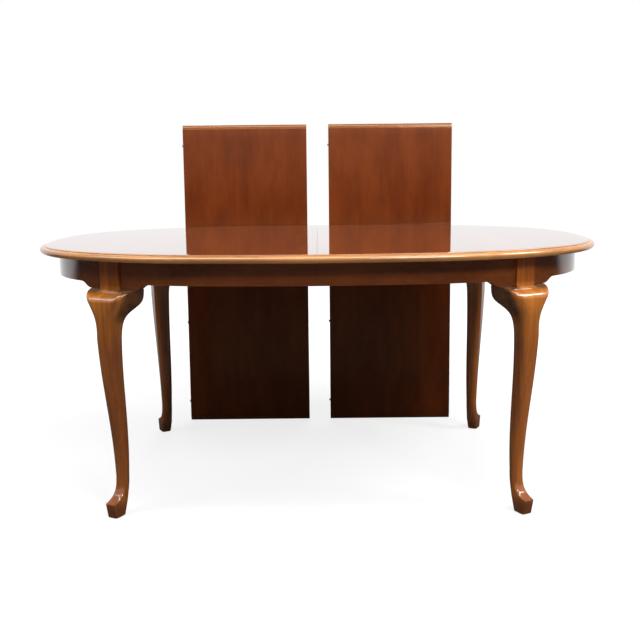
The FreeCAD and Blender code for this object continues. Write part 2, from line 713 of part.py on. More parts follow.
def make_rack(outside):
    """Rear right rack: a strip with straight-sided teeth towards the pinion."""
    slope = math.tan(math.radians(PRESSURE_ANGLE))
    pitch = math.pi * MODULE
    tip_half = pitch / 4 - BACKLASH / 4 - MODULE * slope
    root_half = pitch / 4 - BACKLASH / 4 + (MODULE + ROOT_CLEARANCE) * slope
    tip = PITCH_RADIUS - MODULE
    root = PITCH_RADIUS + MODULE + ROOT_CLEARANCE
    first = -math.floor((RUNNER_INNER_END - pitch) / pitch)
    last = math.floor(RACK_SPARE / pitch)
    points = []
    for index in range(first, last + 1):
        middle = pitch * (index + 0.5)
        points += [(middle - root_half, root), (middle - tip_half, tip)]
        points += [(middle + tip_half, tip), (middle + root_half, root)]
    points += [(points[-1][0], rack_back()), (points[0][0], rack_back())]
    placed = [(x, SLIDE_SET_Y + outside * y) for x, y in points]
    return plate(placed, *pinion_levels(0))


def make_pinion():
    """Rear pinion with involute teeth, on its bore."""
    angle = math.radians(PRESSURE_ANGLE)
    base = PITCH_RADIUS * math.cos(angle)
    tip = PITCH_RADIUS + MODULE
    root = PITCH_RADIUS - MODULE - ROOT_CLEARANCE
    half_tooth = math.pi / (2 * PINION_TEETH) - BACKLASH / (4 * PITCH_RADIUS)

    def half_angle(radius):
        roll = math.acos(min(1.0, base / radius))
        return half_tooth + math.tan(angle) - angle - (math.tan(roll) - roll)

    start = max(base, root)
    radii = [start + (tip - start) * step / FLANK_STEPS for step in range(FLANK_STEPS + 1)]
    flank = [(root, half_angle(start))] + [(radius, half_angle(radius)) for radius in radii]
    points = []
    for index in range(PINION_TEETH):
        middle = math.pi / 2 + 2 * math.pi * index / PINION_TEETH
        tooth = [(r, middle - a) for r, a in flank] + [(r, middle + a) for r, a in reversed(flank)]
        points += [(r * math.cos(a), SLIDE_SET_Y + r * math.sin(a)) for r, a in tooth]
    low, high = pinion_levels(0)
    bore = rod(AXLE_RADIUS + AXLE_CLEARANCE, (0, SLIDE_SET_Y, 0), (0, SLIDE_SET_Y, TABLE_HEIGHT))
    return plate(points, low, high).cut(bore)


def axle_levels():
    """The axle fills its hole from the centre member's lower face to above the pinion's slot."""
    return SLIDE_BOTTOM, pinion_levels(PINION_GAP)[1] + AXLE_RADIUS


def make_axle():
    low, high = axle_levels()
    return rod(AXLE_RADIUS, (0, SLIDE_SET_Y, low), (0, SLIDE_SET_Y, high))


def make_centre_slide():
    """Rear centre member, with a tongue on each side and a slot for the pinion."""
    half = SLIDE_THICKNESS / 2
    tongue_low, tongue_high = tongue_levels(0)
    reach = half + TONGUE_DEPTH
    body = box(
        (-CENTRE_HALF_LENGTH, SLIDE_SET_Y - half, SLIDE_BOTTOM),
        (CENTRE_HALF_LENGTH, SLIDE_SET_Y + half, SLIDE_TOP),
    )
    tongue = box(
        (-CENTRE_HALF_LENGTH, SLIDE_SET_Y - reach, tongue_low),
        (CENTRE_HALF_LENGTH, SLIDE_SET_Y + reach, tongue_high),
    )
    slot_low, slot_high = pinion_levels(PINION_GAP)
    slot_half = PITCH_RADIUS + 2 * MODULE
    slot = box((-slot_half, SLIDE_SET_Y - half, slot_low), (slot_half, SLIDE_SET_Y + half, slot_high))
    low, high = axle_levels()
    hole = rod(AXLE_RADIUS, (0, SLIDE_SET_Y, low), (0, SLIDE_SET_Y, high))
    pilots = [
        rod(SCREW_RADIUS + SCREW_CLEARANCE, (x, SLIDE_SET_Y, 0), (x, SLIDE_SET_Y, SLIDE_BOTTOM + SCREW_BITE))
        for x in (-TIE_RAIL_X, TIE_RAIL_X)
    ]
    return body.fuse(tongue).removeSplitter().cut([slot, hole, *pilots])


def make_tie_rails():
    """Rails under the slides that tie the front and rear centre members together."""
    reach = SLIDE_SET_Y + SLIDE_THICKNESS / 2
    rails = []
    for x in (-TIE_RAIL_X, TIE_RAIL_X):
        low = (x - TIE_RAIL_WIDTH / 2, -reach, SLIDE_BOTTOM - TIE_RAIL_THICKNESS)
        high = (x + TIE_RAIL_WIDTH / 2, reach, SLIDE_BOTTOM)
        holes = [
            rod(SCREW_RADIUS + SCREW_CLEARANCE, (x, y, 0), (x, y, TABLE_HEIGHT))
            for y in (-SLIDE_SET_Y, SLIDE_SET_Y)
        ]
        under_slides = [runner_clearance(x, y) for y in (-SLIDE_SET_Y, SLIDE_SET_Y)]
        rails.append(box(low, high).cut(holes + under_slides))
    return rails


def runner_clearance(x, y):
    """Shallow notch in a tie rail on the inner side of a centre member, so that runners pass over it."""
    half = SLIDE_THICKNESS / 2
    inner = y - math.copysign(half, y)
    sides = sorted((inner, inner - math.copysign(SLIDE_THICKNESS + 2 * SLIDE_CLEARANCE, y)))
    low = (x - TIE_RAIL_WIDTH, sides[0], SLIDE_BOTTOM - RUNNER_RELIEF)
    return box(low, (x + TIE_RAIL_WIDTH, sides[1], SLIDE_BOTTOM))


def make_tie_screws():
    head_low = SLIDE_BOTTOM - TIE_RAIL_THICKNESS - SCREW_HEAD_HEIGHT
    return [
        make_screw(x, y, head_low, SLIDE_BOTTOM + SCREW_BITE)
        for x in (-TIE_RAIL_X, TIE_RAIL_X)
        for y in (-SLIDE_SET_Y, SLIDE_SET_Y)
    ]


def lock_plate(x):
    """Rear lock's plate on the underside, centred at this distance from the seam."""
    half_length = LOCK_PLATE_LENGTH / 2
    half_width = LOCK_PLATE_WIDTH / 2
    low = UNDERSIDE - LOCK_PLATE_THICKNESS
    return box((x - half_length, LOCK_Y - half_width, low), (x + half_length, LOCK_Y + half_width, UNDERSIDE))


def make_lock_base():
    """Rear lock's plate with the rivet that the hook turns on, on the left half."""
    x = -LOCK_SPAN / 2
    head_top = LOCK_HOOK_TOP - LOCK_HOOK_THICKNESS - LOCK_HOOK_GAP
    rivet = rod(LOCK_STUD_RADIUS, (x, LOCK_Y, head_top), (x, LOCK_Y, UNDERSIDE - LOCK_PLATE_THICKNESS))
    head_low = head_top - LOCK_RIVET_HEAD_HEIGHT
    head = rod(LOCK_RIVET_HEAD_RADIUS, (x, LOCK_Y, head_low), (x, LOCK_Y, head_top))
    return lock_plate(x).fuse([rivet, head]).removeSplitter()


def make_lock_keeper():
    """Rear lock's plate with its stud, on the right half."""
    x = LOCK_SPAN / 2
    low = LOCK_HOOK_TOP - LOCK_HOOK_THICKNESS - LOCK_HOOK_GAP
    stud = rod(LOCK_STUD_RADIUS, (x, LOCK_Y, low), (x, LOCK_Y, UNDERSIDE - LOCK_PLATE_THICKNESS))
    return lock_plate(x).fuse(stud).removeSplitter()


def make_lock_hook():
    """Rear hook, parked towards the middle of the table. It swings a quarter turn to reach the stud."""
    low = LOCK_HOOK_TOP - LOCK_HOOK_THICKNESS
    half = LOCK_HOOK_WIDTH / 2
    slot_half = LOCK_STUD_RADIUS + LOCK_SLOT_CLEARANCE
    round_end = rod(half, (0, 0, low), (0, 0, LOCK_HOOK_TOP))
    bar = box((0, -half, low), (LOCK_HOOK_REACH, half, LOCK_HOOK_TOP)).fuse(round_end)
    bore = rod(LOCK_STUD_RADIUS + AXLE_CLEARANCE, (0, 0, 0), (0, 0, TABLE_HEIGHT))
    seat = rod(slot_half, (LOCK_SPAN, 0, 0), (LOCK_SPAN, 0, TABLE_HEIGHT))
    ring = rod(LOCK_SPAN + slot_half, (0, 0, 0), (0, 0, TABLE_HEIGHT))
    ring = ring.cut(rod(LOCK_SPAN - slot_half, (0, 0, 0), (0, 0, TABLE_HEIGHT)))
    mouth = ring.common(box((0, 0, 0), (LOCK_HOOK_REACH, LOCK_SPAN, TABLE_HEIGHT)))
    hook = bar.cut([bore, seat, mouth]).removeSplitter()
    hook.rotate(Vector(0, 0, 0), Vector(0, 0, 1), -90)
    hook.translate(Vector(-LOCK_SPAN / 2, LOCK_Y, 0))
    return hook


def lean_leaf(shape):
    """Stands a leaf's piece up from its flat frame, x across, y along and z through it, leaning back."""
    stood = shape.copy()
    stood.rotate(Vector(0, 0, 0), Vector(1, 0, 0), 90 - LEAF_LEAN)
    return stood


def place_leaf(shapes, centre, lift):
    """Leaf's pieces behind the table, standing on the floor."""
    placed = []
    for shape in shapes:
        stood = lean_leaf(shape)
        stood.translate(Vector(centre, LEAF_FLOOR_Y, lift))
        placed.append(stood)
    return placed


def make_leaf_panel():
    """Leaf in its flat frame, its face at z 0 and its first end at y 0, with dowel holes in one edge."""
    half = LEAF_WIDTH / 2
    panel = box((-half, BAND_WIDTH, -TOP_THICKNESS), (half, TOP_WIDTH - BAND_WIDTH, 0))
    depth = DOWEL_REACH + DOWEL_HOLE_SPARE
    middle = -TOP_THICKNESS / 2
    drills = []
    for place in dowel_places():
        y = TOP_WIDTH / 2 + place
        hole_radius = DOWEL_RADIUS + DOWEL_HOLE_CLEARANCE
        drills.append(rod(hole_radius, (half, y, middle), (half - depth, y, middle)))
        drills.append(rod(DOWEL_RADIUS, (-half, y, middle), (DOWEL_SEAT - half, y, middle)))
    return panel.cut(drills)


def make_leaf_ends():
    """Moulded bands across the two ends of a leaf."""
    half = LEAF_WIDTH / 2
    first = edge_profile(Vector(-half, 0, 0), Vector(0, -1, 0)).extrude(Vector(LEAF_WIDTH, 0, 0))
    second = edge_profile(Vector(-half, TOP_WIDTH, 0), Vector(0, 1, 0)).extrude(Vector(LEAF_WIDTH, 0, 0))
    return [first, second]


def make_leaf_dowels():
    half = LEAF_WIDTH / 2
    middle = -TOP_THICKNESS / 2
    return [
        rod(
            DOWEL_RADIUS,
            (DOWEL_SEAT - half, TOP_WIDTH / 2 + place, middle),
            (-DOWEL_REACH - half, TOP_WIDTH / 2 + place, middle),
        )
        for place in dowel_places()
    ]


def half_nodes():
    """Pieces of the right half, front and rear, and of the left half as their mirror."""
    end, apron_front, apron_rear = make_apron()
    leg, knee_blocks = make_leg()
    alike = {
        "edge_moulding": [make_edge_moulding()],
        "end_apron": [end],
        "side_apron_front": [apron_front],
        "side_apron_rear": [apron_rear],
        "leg_front": [leg],
        "leg_rear": [across(leg)],
        "knee_blocks_front": knee_blocks,
        "knee_blocks_rear": [across(block) for block in knee_blocks],
        "glue_blocks": make_glue_blocks(),
    }
    front_only = {
        "corner_blocks": [make_corner_block()],
        "leg_bolts": make_bolts(),
        "leg_washers": make_washers(),
        "leg_nuts": make_nuts(),
        "foot_glides": [make_glide()],
    }
    for name, shapes in front_only.items():
        alike[name] = shapes + [across(shape) for shape in shapes]
    nodes = {}
    for name, shapes in alike.items():
        nodes[name + "_right"] = shapes
        nodes[name + "_left"] = [opposite(shape) for shape in shapes]
    return nodes


def seam_nodes():
    """Pieces that differ between the halves: panels, dowels, runners, racks, screws and locks."""
    right_outside = 1
    left_outside = -1
    panel = make_top_panel()
    left_panel = opposite(drill_for_screws(panel, left_outside))
    nodes = {
        "top_panel_right": [seat_dowels(drill_for_screws(panel, right_outside))],
        "top_panel_left": [drill_dowel_holes(left_panel)],
        "seam_dowels": make_seam_dowels(),
        "lock_bases": both_sets(make_lock_base()),
        "lock_keepers": both_sets(make_lock_keeper()),
        "lock_hook_rear": [make_lock_hook()],
        "lock_hook_front": [across(make_lock_hook())],
    }
    for side, outside in (("right", right_outside), ("left", left_outside)):
        place = opposite if side == "left" else Part.Shape.copy
        runner = place(make_runner(outside))
        nodes["slide_runner_rear_" + side] = [runner]
        nodes["slide_runner_front_" + side] = [across(runner)]
        nodes["gear_racks_" + side] = both_sets(place(make_rack(outside)))
        screws = [place(screw) for screw in make_runner_screws(outside)]
        nodes["runner_screws_" + side] = screws + [across(screw) for screw in screws]
    return nodes


def both_sets(shape):
    """A piece at the rear and its mirror at the front."""
    return [shape, across(shape)]


def centre_nodes():
    """Pieces that stay in the middle when the table is drawn out."""
    centre = make_centre_slide()
    pinion = make_pinion()
    return {
        "centre_slide_rear": [centre],
        "centre_slide_front": [across(centre)],
        "tie_rails": make_tie_rails(),
        "tie_screws": make_tie_screws(),
        "pinion_axles": both_sets(make_axle()),
        "pinion_rear": [pinion],
        "pinion_front": [across(pinion)],
    }


def leaf_nodes():
    ends = make_leaf_ends()
    lift = -min(lean_leaf(end).optimalBoundingBox().ZMin for end in ends)
    nodes = {}
    for side, centre in zip(("left", "right"), LEAF_CENTRES):
        nodes["leaf_panel_" + side] = place_leaf([make_leaf_panel()], centre, lift)
        nodes["leaf_ends_" + side] = place_leaf(ends, centre, lift)
        nodes["leaf_dowels_" + side] = place_leaf(make_leaf_dowels(), centre, lift)
    return nodes


def main():
    os.makedirs("parts", exist_ok=True)
    nodes = {**half_nodes(), **seam_nodes(), **centre_nodes(), **leaf_nodes()}
    for name, shapes in nodes.items():
        solids = [solid for shape in shapes for solid in shape.Solids]
        whole = solids[0] if len(solids) == 1 else Part.makeCompound(solids)
        whole.exportStep(f"parts/{name}.step")
        print(f"{name}: {len(solids)} solids, {whole.Volume / 1000:.1f} cm3, valid {whole.isValid()}")


main()
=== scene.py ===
import json
import math

import bmesh
import bpy
from mathutils import Matrix, Vector


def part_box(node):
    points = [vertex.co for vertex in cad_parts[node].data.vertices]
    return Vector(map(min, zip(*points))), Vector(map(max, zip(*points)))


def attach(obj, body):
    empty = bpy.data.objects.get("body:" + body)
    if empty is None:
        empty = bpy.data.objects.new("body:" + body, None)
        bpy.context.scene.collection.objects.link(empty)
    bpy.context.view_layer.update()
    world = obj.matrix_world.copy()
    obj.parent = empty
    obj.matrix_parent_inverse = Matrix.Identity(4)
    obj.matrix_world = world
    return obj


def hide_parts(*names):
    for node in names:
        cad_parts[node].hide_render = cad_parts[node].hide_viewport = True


bl_info = {
    "name": "Oval extension table",
    "version": (1, 0, 0),
    "blender": (4, 5, 0),
    "location": "View3D > Sidebar > Oval Table",
    "description": "Dresses an oval extension table on cabriole legs and its two leaves",
    "category": "Object",
}

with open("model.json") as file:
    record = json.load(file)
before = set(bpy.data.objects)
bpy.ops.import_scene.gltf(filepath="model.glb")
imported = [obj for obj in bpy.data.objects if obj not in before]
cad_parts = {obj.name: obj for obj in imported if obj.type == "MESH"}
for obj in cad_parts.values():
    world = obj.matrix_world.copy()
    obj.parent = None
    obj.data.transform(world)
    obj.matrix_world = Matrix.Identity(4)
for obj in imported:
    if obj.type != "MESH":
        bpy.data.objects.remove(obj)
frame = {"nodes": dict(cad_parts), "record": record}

MM = 0.001
SIDES = (("right", 1), ("left", -1))
ENDS = (("front", 1), ("rear", -1))

# Edges sharper than these turns are drawn sharp, or get a live bevel
SHARP_EDGE = math.radians(32)
EASED_EDGE = math.radians(40)

# Points this near are one, and faces are parallel from this cosine
MERGE_DISTANCE = 1e-6
PARALLEL = 0.9999

# Length of the facets round the oval
EDGE_FACET = 12 * MM
APRON_FACET = 6 * MM

# Widths of softened edges
PANEL_EASE = 0.12 * MM
LEAF_EASE = 0.8 * MM
APRON_EASE = 1.2 * MM
APRON_CORNER = 0.3 * APRON_EASE
POST_EASE = 1.0 * MM
SOLE_EASE = 2.0 * MM

# Oval that the figure of curved wood follows, in metres
GRAIN_HALF_LENGTH = 0.84
GRAIN_HALF_WIDTH = 0.56
GRAIN_RADIUS = 0.74


def length(name, default_mm, description):
    """Length property, its default given in millimetres."""
    return bpy.props.FloatProperty(
        name=name, description=description, default=default_mm * MM, unit="LENGTH", precision=4
    )


def colour(name, default, description):
    """Colour property in linear light."""
    return bpy.props.FloatVectorProperty(
        name=name, description=description, default=default, size=3, min=0, max=1, subtype="COLOR"
    )


def amount(name, default, description):
    """Plain number property."""
    return bpy.props.FloatProperty(name=name, description=description, default=default)


class OvalTableSizes(bpy.types.PropertyGroup):
    """Sizes of the table and its leaves"""

    top_length: length("Length", 1676.4, "Length of the closed top")
    top_width: length("Width", 1117.6, "Width of the top, and length of a leaf")
    height: length("Height", 749.3, "Height of the top's surface")
    top_thickness: length("Top thickness", 22.0, "Thickness of the top and the leaves")
    fullness: amount("Oval fullness", 2.54, "2 is a plain ellipse, more is squarer")
    seam_gap: length("Seam gap", 0.5, "Gap between the two halves")
    band_width: length("Edge band", 40.0, "Width of the solid band round the panel")
    quirk_inset: length("Quirk inset", 14.0, "Distance of the moulding's step from the edge")
    quirk_depth: length("Quirk depth", 2.5, "Height of the moulding's step")
    quirk_arris: length("Quirk arris", 1.2, "Radius of the step's upper edge")
    nose_depth: length("Nose depth", 11.5, "Depth of the moulding's widest line below the top")
    undercut: length("Undercut", 9.0, "How far the moulding is drawn in below")
    apron_inset: length("Apron inset", 54.3, "Distance of the apron's face from the edge")
    apron_thickness: length("Apron thickness", 20.0, "Thickness of the apron")
    apron_depth: length("Apron depth", 64.9, "Depth of the apron below the top")
    apron_dip: length("Apron dip", 16.4, "How far the apron dips to the knees")
    dip_length: length("Dip length", 42.0, "Length of the S between apron and knee")
    leaf_width: length("Leaf width", 457.2, "Width of a leaf")
    leaf_floor: length("Leaf distance", 563.0, "Distance of the leaves' faces at the floor")
    leaf_lean: amount("Leaf lean", 1.4, "Lean of the standing leaves in degrees")


class OvalTableLegSizes(bpy.types.PropertyGroup):
    """Sizes of a cabriole leg"""

    turn: amount("Turn", 28.5, "Turn of the leg from the table's short axis in degrees")
    post_width: length("Post width", 63.0, "Width of the post's face")
    post_depth: length("Post depth", 58.0, "Depth of the post")
    post_proud: length("Post proud", 8.0, "How far the post stands out of the apron")
    ear_half_width: length("Ear reach", 76.0, "Distance of an ear's end from the leg's middle")
    knee_length: length("Knee length", 130.0, "Height of the knee")
    knee_crown: length("Knee crown", 30.0, "Height over which the knee rolls out")
    crown_power: amount("Crown power", 0.62, "How full the knee's crown is, fuller as it falls to 0.5")
    knee_reach: length("Knee reach", 40.0, "How far the knee stands out of the post's face")
    knee_backset: length("Knee backset", 10.0, "How far the knee's top lies behind the post's face")
    front_power: amount("Knee taper", 2.6, "How fast the knee's face narrows")
    front_edge: length("Knee edge", 9.0, "Edge radius of the knee's face at its top")
    back_edge: length("Ear edge", 3.0, "Edge radius of the ears at their top")
    knee_round: length("Knee roundness", 14.0, "How much rounder the knee is half way down")
    ear_drop: length("Ear drop", 59.0, "Depth at which the ears have swept half way in")
    ear_power: amount("Ear roundness", 5.0, "How round the ears' ends are")
    shank_side: length("Shank side", 56.2, "Side of the shank below the knee")
    shank_corner: length("Shank corner", 14.5, "Corner radius of the shank")
    sway_in: length("Sway in", -20.0, "Place of the shank's middle above the ankle")
    sway_out: length("Sway out", 8.0, "Place of the shank's middle below the knee")
    ankle_height: length("Ankle height", 115.0, "Height of the ankle")
    ankle_side: length("Ankle side", 34.3, "Side of the ankle")
    toe_height: length("Toe height", 44.0, "Height of the toe's ridge")
    toe_reach: length("Toe reach", 41.0, "How far the toe stands out")
    toe_half_width: length("Toe half width", 15.5, "Half width of the squared toe")
    toe_corner: length("Toe corner", 4.0, "Corner radius of the toe")
    toe_slope: length("Toe slope", 16.0, "Height over which the instep falls to the toe")
    heel_reach: length("Heel reach", 21.0, "How far the heel stands back")
    heel_half_width: length("Heel half width", 21.0, "Half width of the heel")
    heel_corner: length("Heel corner", 12.0, "Corner radius of the heel")
    sole_front: length("Sole front", 33.0, "Front of the sole")
    sole_back: length("Sole back", -8.0, "Back of the sole")
    sole_half_width: length("Sole half width", 16.5, "Half width of the sole")
    sole_corner: length("Sole corner", 6.5, "Corner radius of the sole")
    glide: length("Glide", 2.0, "Thickness of the glide under the foot")


class OvalTableFinishes(bpy.types.PropertyGroup):
    """Colours of the lacquered and bare woods, the plastic and the metals"""

    top_light: colour("Top, light", (0.250, 0.049, 0.0050), "Light figure of the top")
    top_dark: colour("Top, dark", (0.112, 0.0215, 0.0035), "Dark figure of the top")
    leaf_light: colour("Leaf, light", (0.138, 0.0270, 0.0040), "Light figure of the leaves")
    leaf_dark: colour("Leaf, dark", (0.074, 0.0115, 0.0016), "Dark figure of the leaves")
    leaf_edge_light: colour("Leaf edge, light", (0.20, 0.062, 0.012), "Light figure of the leaf ends")
    leaf_edge_dark: colour("Leaf edge, dark", (0.11, 0.027, 0.004), "Dark figure of the leaf ends")
    edge_light: colour("Edge, light", (0.50, 0.225, 0.065), "Light figure of the moulded edges")
    edge_dark: colour("Edge, dark", (0.29, 0.112, 0.025), "Dark figure of the moulded edges")
    apron_light: colour("Apron, light", (0.182, 0.0455, 0.0082), "Light figure of the aprons")
    apron_dark: colour("Apron, dark", (0.082, 0.0173, 0.0027), "Dark figure of the aprons")
    leg_light: colour("Leg, light", (0.40, 0.117, 0.016), "Light figure of the legs")
    leg_dark: colour("Leg, dark", (0.115, 0.0255, 0.0038), "Dark figure of the legs")
    frame_light: colour("Frame, light", (0.58, 0.43, 0.26), "Light figure of the bare softwood")
    frame_dark: colour("Frame, dark", (0.36, 0.23, 0.12), "Dark figure of the bare softwood")
    slide_light: colour("Slide, light", (0.62, 0.46, 0.28), "Light figure of the bare hardwood")
    slide_dark: colour("Slide, dark", (0.44, 0.29, 0.15), "Dark figure of the bare hardwood")
    gear_light: colour("Gear, light", (0.80, 0.78, 0.70), "Light mottle of the racks and pinions")
    gear_dark: colour("Gear, dark", (0.70, 0.68, 0.60), "Dark mottle of the racks and pinions")
    bolt_light: colour("Bolt, light", (0.62, 0.62, 0.60), "Light mottle of the bolts, screws and glides")
    bolt_dark: colour("Bolt, dark", (0.45, 0.45, 0.44), "Dark mottle of the bolts, screws and glides")
    lock_light: colour("Lock, light", (0.58, 0.54, 0.46), "Light mottle of the locks")
    lock_dark: colour("Lock, dark", (0.42, 0.39, 0.33), "Dark mottle of the locks")


class OvalTableStage(bpy.types.PropertyGroup):
    """Camera and light"""

    camera_place: bpy.props.FloatVectorProperty(
        name="Camera",
        description="Place of the camera",
        default=(0.0061, -2.9569, 0.9946),
        size=3,
        unit="LENGTH",
    )
    camera_pitch: amount("Pitch", 9.77, "Downward tilt of the camera in degrees")
    camera_roll: amount("Roll", -0.58, "Roll of the camera in degrees")
    camera_lens: amount("Lens", 52.95, "Focal length in millimetres")
    ambient: amount("Ambient", 0.06, "Strength of the surrounding light")
    front_room: amount("Front room", 0.05, "Brightness of the room in front, as the gloss shows it")
    ceiling: amount("Ceiling", 0.45, "Brightness of the ceiling against the walls, as the gloss shows it")
    floor_glow: amount("Floor glow", 0.78, "Share of the floor's white that isn't from the lights")
    floor_near: length("Shadow reach", 1100.0, "Distance to which the floor shows the shadow in full")
    floor_far: length("Floor reach", 2600.0, "Distance from which the floor is plain white")


def settings(context):
    """Shortcut to the table's, legs' and finishes' settings."""
    scene = context.scene
    return scene.oval_table_sizes, scene.oval_table_leg, scene.oval_table_finishes


# Outline of the top


def direction(turn):
    """Unit vector in plan at this angle from +X, in degrees."""
    return Vector((math.cos(math.radians(turn)), math.sin(math.radians(turn)), 0))


def cosine_fall(value, start, end):
    """1 before start, 0 after end, with a smooth S between them."""
    share = min(1.0, max(0.0, (value - start) / (end - start)))
    return (1 + math.cos(math.pi * share)) / 2


def oval_point(sizes, turn):
    """Point of the oval whose outward normal is turned by this angle from +X."""
    if turn >= 90:
        return Vector((0, sizes.top_width / 2, 0))
    slope = math.tan(math.radians(turn)) * sizes.top_width / sizes.top_length
    ratio = slope ** (1 / (sizes.fullness - 1))
    x = (1 + ratio**sizes.fullness) ** (-1 / sizes.fullness)
    return Vector((sizes.top_length / 2 * x, sizes.top_width / 2 * ratio * x, 0))


def oval_arcs(sizes):
    """Right half of the oval as tangent arcs: (centre, radius, first turn, last turn), front to rear."""
    arcs = []
    span_turn = 30.0
    for first in (0.0, span_turn, 2 * span_turn):
        last = first + span_turn
        start = oval_point(sizes, first)
        end = oval_point(sizes, last)
        leave = direction(first + 90)
        arrive = direction(last + 90)
        chord = end - start
        bend = 2 * (1 - leave.dot(arrive))
        along = chord.dot(leave + arrive)
        reach = (math.sqrt(along**2 + bend * chord.dot(chord)) - along) / bend
        middle = (start + end + (leave - arrive) * reach) * 0.5
        for point, turn in ((start, first), (end, last)):
            span = middle - point
            radius = -span.dot(span) / (2 * direction(turn).dot(span))
            centre = point - direction(turn) * radius
            join = middle - centre
            join_turn = math.degrees(math.atan2(join.y, join.x))
            arcs.append((centre, radius, min(turn, join_turn), max(turn, join_turn)))
    front = [(Vector((c.x, -c.y, 0)), r, -last, -first) for c, r, first, last in reversed(arcs)]
    return front + arcs


def rim_point(arcs, turn, inset):
    """Point this far inside the oval's edge, where the edge faces this way."""
    for centre, radius, first, last in arcs:
        if first <= turn <= last:
            return centre + direction(turn) * (radius - inset)
    raise ValueError("the right half of the oval has no such point")


# Mesh helpers


def loop_edges(bm, verts):
    """Edges that join the vertices into a closed loop."""
    pairs = zip(verts, verts[1:] + verts[:1])
    return [bm.edges.get(pair) or bm.edges.new(pair) for pair in pairs]


def sweep_rim(bm, section, arcs, spacing):
    """Spins a closed section, given as (inset, height), round the right half of the oval."""
    centre, radius, first, _ = arcs[0]
    start = direction(first)
    verts = [bm.verts.new(centre + start * (radius - inset) + Vector((0, 0, z))) for inset, z in section]
    begin = loop_edges(bm, verts)
    moving = verts + begin
    for centre, radius, first, last in arcs:
        turn = math.radians(last - first)
        steps = max(3, math.ceil(radius * turn / spacing))
        spun = bmesh.ops.spin(bm, geom=moving, cent=centre, axis=(0, 0, 1), angle=turn, steps=steps)
        moving = spun["geom_last"]
    finish = [item for item in moving if isinstance(item, bmesh.types.BMEdge)]
    bmesh.ops.contextual_create(bm, geom=begin)
    bmesh.ops.contextual_create(bm, geom=finish)


def grow_ring(bm, ring, points):
    """Extrudes a closed ring and moves the new one to these points."""
    grown = bmesh.ops.extrude_edge_only(bm, edges=loop_edges(bm, ring))["geom"]
    fresh = {item for item in grown if isinstance(item, bmesh.types.BMVert)}
    following = []
    for vert, point in zip(ring, points):
        new = next(e.other_vert(vert) for e in vert.link_edges if e.other_vert(vert) in fresh)
        new.co = point
        following.append(new)
    return following


def add_block(bm, low, high, matrix):
    """Adds a block between two corners, placed by a matrix."""
    low = Vector(low)
    high = Vector(high)
    size = high - low
    place = matrix @ Matrix.Translation((low + high) / 2) @ Matrix.Diagonal((*size, 1))
    return bmesh.ops.create_cube(bm, size=1, matrix=place)["verts"]


def keep_beyond(bm, point, normal):
    """Cuts the mesh with a plane, keeps what the normal points to and closes the cut. Gives its edges."""
    geom = bm.verts[:] + bm.edges[:] + bm.faces[:]
    cut = bmesh.ops.bisect_plane(bm, geom=geom, plane_co=point, plane_no=normal, clear_inner=True)
    edges = [item for item in cut["geom_cut"] if isinstance(item, bmesh.types.BMEdge)]
    bmesh.ops.holes_fill(bm, edges=edges)
    return edges


def bevel_edges(bm, edges, offset, segments):
    """Bevels these edges of a mesh."""
    bmesh.ops.bevel(
        bm, geom=edges, offset=offset, affect="EDGES", segments=segments, profile=0.5, material=-1
    )


def finish_piece(name, bm, material, body, nodes, grain):
    """Turns a bmesh into a piece that stands for CAD nodes.

    Grain gives a point's place in the wood: along, across and through its figure.
    """
    bmesh.ops.remove_doubles(bm, verts=bm.verts, dist=MERGE_DISTANCE)
    bmesh.ops.recalc_face_normals(bm, faces=bm.faces)
    for face in bm.faces:
        face.smooth = True
    for edge in bm.edges:
        edge.smooth = edge.calc_face_angle(math.pi) < SHARP_EDGE
    mesh = bpy.data.meshes.new(name)
    bm.to_mesh(mesh)
    bm.free()
    layer = mesh.attributes.new("grain", "FLOAT_VECTOR", "POINT")
    for vert, item in zip(mesh.vertices, layer.data):
        item.vector = grain(vert.co)
    piece = bpy.data.objects.new(name, mesh)
    bpy.context.scene.collection.objects.link(piece)
    mesh.materials.append(material)
    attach(piece, body)
    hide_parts(*nodes)
    return piece


def dress_band(piece, material, normal):
    """Gives the moulding's flat band, which faces this way, the panel's finish."""
    mesh = piece.data
    mesh.materials.append(material)
    for polygon in mesh.polygons:
        if polygon.normal.dot(normal) > PARALLEL:
            polygon.material_index = 1


def dress_solid(node, material, ease):
    """Gives a CAD node its finish and softens its sharp edges."""
    solid = frame["nodes"][node]
    solid.data.materials.clear()
    solid.data.materials.append(material)
    solid.modifiers.new("Joined faces", "WELD").merge_threshold = MERGE_DISTANCE
    bevel = solid.modifiers.new("Softened edges", "BEVEL")
    bevel.width = ease
    bevel.segments = 2
    bevel.profile = 0.5
    bevel.limit_method = "ANGLE"
    bevel.angle_limit = EASED_EDGE
    bevel.material = -1
    even_shading(solid)


def even_shading(piece):
    """Lets the large faces set the shading, so that small rounded edges don't bend it."""
    piece.modifiers.new("Even shading", "WEIGHTED_NORMAL").keep_sharp = True


def mirror_half(bm, sign):
    """Mirrors a right-hand piece to the left where sign is -1."""
    if sign < 0:
        bmesh.ops.scale(bm, vec=(-1, 1, 1), verts=bm.verts)


def rim_grain(co):
    """Grain that follows the rim."""
    around = math.atan2(co.y / GRAIN_HALF_WIDTH, co.x / GRAIN_HALF_LENGTH)
    return Vector((around * GRAIN_RADIUS, co.z, math.hypot(co.x, co.y)))


def upright_grain(co):
    """Grain up the leg."""
    return Vector((co.z, co.x, co.y))


def long_grain(co):
    """Grain along the table."""
    return Vector((co.x, co.z, co.y))


# Materials

CLEAR = (1, 1, 1, 1)
AMBER = (1.0, 0.68, 0.46, 1)

# Turns from the table's axes to the grain's, for nodes that keep their CAD mesh
UNTURNED = (0, 0, 0)
ACROSS_TABLE = (0, 0, math.pi / 2)
UPRIGHT = (0, math.pi / 2, 0)

